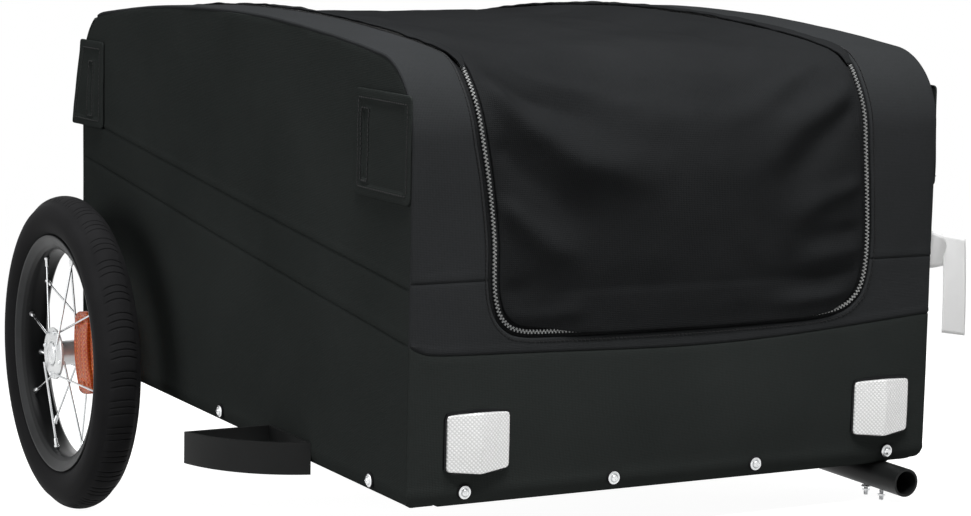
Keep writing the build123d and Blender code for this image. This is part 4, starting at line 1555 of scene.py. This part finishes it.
# Spoke reflector: two amber shells clipped back to back over the spokes
def buildSpokeReflector(side):
    pieces = bmesh.new()
    for face in (-1, 1):
        def place(u, v, h):
            return np.stack([amber["reach"] + u, v + 0 * u, face * (amber["gap"] + h) + 0 * u], axis=-1)

        def rise(u, v):
            wide, tall = 2 * u / amber["width"], 2 * v / amber["height"]
            top, sideways, endways = amber["crown"]
            body = top - sideways * wide**2 - endways * tall**2
            # raised rib round the edge, and the round bosses of its two screws
            edge = np.maximum(np.abs(wide) - 0.8, np.abs(tall) - 0.9)
            body += amber["rib"] * ridge(edge, 0.0, 0.045)
            (boss, bossHeight), (hole, holeDepth) = amber["boss"], amber["hole"]
            for spot in amber["bosses"]:
                far = np.hypot(u + 0.001, v - spot)
                out, down = ease((far - boss) / 0.0012), ease((far - hole) / 0.0008)
                body += bossHeight * (1 - out) - holeDepth * (1 - down)
            body += 0.0007 * ridge(np.abs(u), 0.0045, 0.001) * (np.abs(v) < 0.022)
            return body

        edge = rolled(0.0007, 0.0003, 0.0011, 0.001, 0.0036)
        bm = lensShape(amber["width"], amber["height"], 0.01, 57, 29, edge)
        hangCloth(bm, place, rise, flip=face < 0)
        join(pieces, bm)
    finishOnWheel(
        pieces, "amber_shells", ["amber lens"], "amber", side, replaced=(f"spoke_reflector_{side}",),
        sharp=35
    )
    bm = turnedPiece(mm(((0, 5.8), (1.3, 5.6), (2.1, 5), (2.1, 3), (0, 3))), 16)
    seats = [Matrix.Translation((amber["reach"] - 0.001, v, 0)) for v in amber["bosses"]]
    finishOnWheel(scatter(bm, seats), "amber_screws", ["zinc"], "bright_steel", side)


def buildAxlePin(side, sign):
    button = (
        (0, 20.7), (4.5, 20.6), (7.4, 20.2), (8, 19.9), (8.4, 19.9), (9.7, 19.4), (10.3, 18.7), (10.5, 18),
        (10.4, 17.4), (6, 17.3), (5.95, 16.5), (5.95, -49.8), (0, -49.8),
    )
    bm = turnedPiece(mm(button), 36)
    finishPiece(
        bm, f"axle_button_{side}", ["zinc"], frame["nodes"][f"axle_pin_{side}"]["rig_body"], "bright_steel",
        wheelPlace(sign), replaced=(f"axle_pin_{side}",), sharp=30
    )


# A hexagon head or nut with its edges eased, its middle at a height
def hexagon(radius, depth, easing, steps, z):
    bm = bmesh.new()
    bmesh.ops.create_cone(bm, cap_ends=True, segments=6, radius1=radius, radius2=radius, depth=depth)
    bmesh.ops.bevel(
        bm, geom=bm.edges[:], offset=easing, affect="EDGES", segments=steps, profile=0.5, material=-1
    )
    bmesh.ops.translate(bm, verts=bm.verts[:], vec=(0, 0, z))
    return bm


bracketBolt = {"x": (-0.024, 0.024), "z": 0.021, "plate": 0.004, "across": 0.01, "height": 0.004}


# Two hex bolts and washers through each axle bracket
def buildBracketBolts(side, sign):
    pieces = turnedPiece(mm(((0, 0), (6.4, 0), (6.6, 0.2), (6.6, 1), (6.2, 1.2), (0, 1.2))), 28)
    radius, height = bracketBolt["across"] / 2 / cos(pi / 6), bracketBolt["height"]
    join(pieces, hexagon(radius, height, 0.0004, 2, 0.001 + height / 2))
    seats = []
    for x in bracketBolt["x"]:
        y = sign * (0.246 + bracketBolt["plate"])
        spot = Matrix.Translation((axle["x"] + x, y, shell["floor"] + bracketBolt["z"]))
        seats.append(spot @ Matrix.Rotation(-sign * pi / 2, 4, "X") @ Matrix.Rotation(0.4 + 30 * x, 4, "Z"))
    finishPiece(
        scatter(pieces, seats), f"bracket_bolts_{side}", ["zinc"], "chassis", "bright_steel", sharp=30
    )


for side, sign in sides.items():
    buildTyre(side)
    buildRim(side)
    buildHub(side)
    buildSpokeReflector(side)
    buildAxlePin(side, sign)
    buildBracketBolts(side, sign)
print("wheels")

# Frame, floor, guards, spokes and tow tube, which keep their built shapes
painted = ["crossbar_front", "crossbar_rear", "tow_tube", "tow_saddle"]
painted += [f"base_cross_{place}" for place in ("front", "middle", "axle", "rear")]
painted += [
    f"{name}_{side}" for name in ("base_rail", "hoop", "axle_bracket", "wheel_guard") for side in sides
]
coats = {node: "powder coat" for node in painted}
coats.update({"floor_board": "board", "spokes_left": "stainless", "spokes_right": "stainless"})
for node, coat in coats.items():
    slots = frame["nodes"][node].data.materials
    slots.clear()
    slots.append(finishes[coat])

towScrews = {
    "y": 0.2068, "tubeLow": 0.1257 - 0.0123 - 0.012, "x": {"front": -0.003, "rear": -0.025},
    "drop": 0.0095, "top": 0.0017, "tip": 0.0014, "shank": 0.0019,
    # the thread's turns and pitch, and the radii of its crest and its root
    "turns": 13, "pitch": 0.0007, "crest": 0.00198, "root": 0.00168,
    # nut: radius, height, easing, steps of the easing, level
    "nut": (0.0035, 0.0018, 0.0003, 1, -0.0044),
    # wing ring: radii of its wire and of the ring, and its level
    "ring": (0.00075, 0.0036, -0.0016),
}


# Clamp screws under the tow tube: threaded shanks with a nut, the rear one with a wing ring
def buildTowScrews():
    for place, x in towScrews["x"].items():
        low, top, pitch = -towScrews["drop"], towScrews["top"], towScrews["pitch"]
        thread = [(0.0, low), (towScrews["tip"], low), (towScrews["shank"], low + 0.0006)]
        for k in range(towScrews["turns"]):
            z = low + 0.0009 + k * pitch
            thread += [(towScrews["crest"], z), (towScrews["root"], z + pitch / 2)]
        thread += [(towScrews["shank"], top - 0.0003), (0.0, top)]
        bm = turnedPiece(thread, 16)
        join(bm, hexagon(*towScrews["nut"]))
        if place == "rear":
            # wing ring, a loop of wire right under the tube
            ring = bmesh.new()
            wireRadius, radius, level = towScrews["ring"]
            wire = bmesh.ops.create_circle(ring, segments=8, radius=wireRadius)["verts"]
            bmesh.ops.rotate(ring, verts=wire, cent=(0, 0, 0), matrix=Matrix.Rotation(pi / 2, 3, "X"))
            bmesh.ops.translate(ring, verts=wire, vec=(radius, 0, 0))
            bmesh.ops.spin(
                ring, geom=ring.verts[:] + ring.edges[:], cent=(0, 0, 0), axis=(0, 0, 1), angle=2 * pi,
                steps=20, use_merge=True
            )
            bmesh.ops.translate(ring, verts=ring.verts[:], vec=(0, 0, level))
            bmesh.ops.recalc_face_normals(ring, faces=ring.faces[:])
            join(bm, ring)
        spot = Matrix.Translation((x, towScrews["y"], towScrews["tubeLow"]))
        finishPiece(
            bm, f"tow_clamp_screw_{place}", ["zinc"], "chassis", "bright_steel", spot,
            replaced=(f"tow_screw_{place}",), sharp=30
        )


buildTowScrews()
print("frame and tow tube")
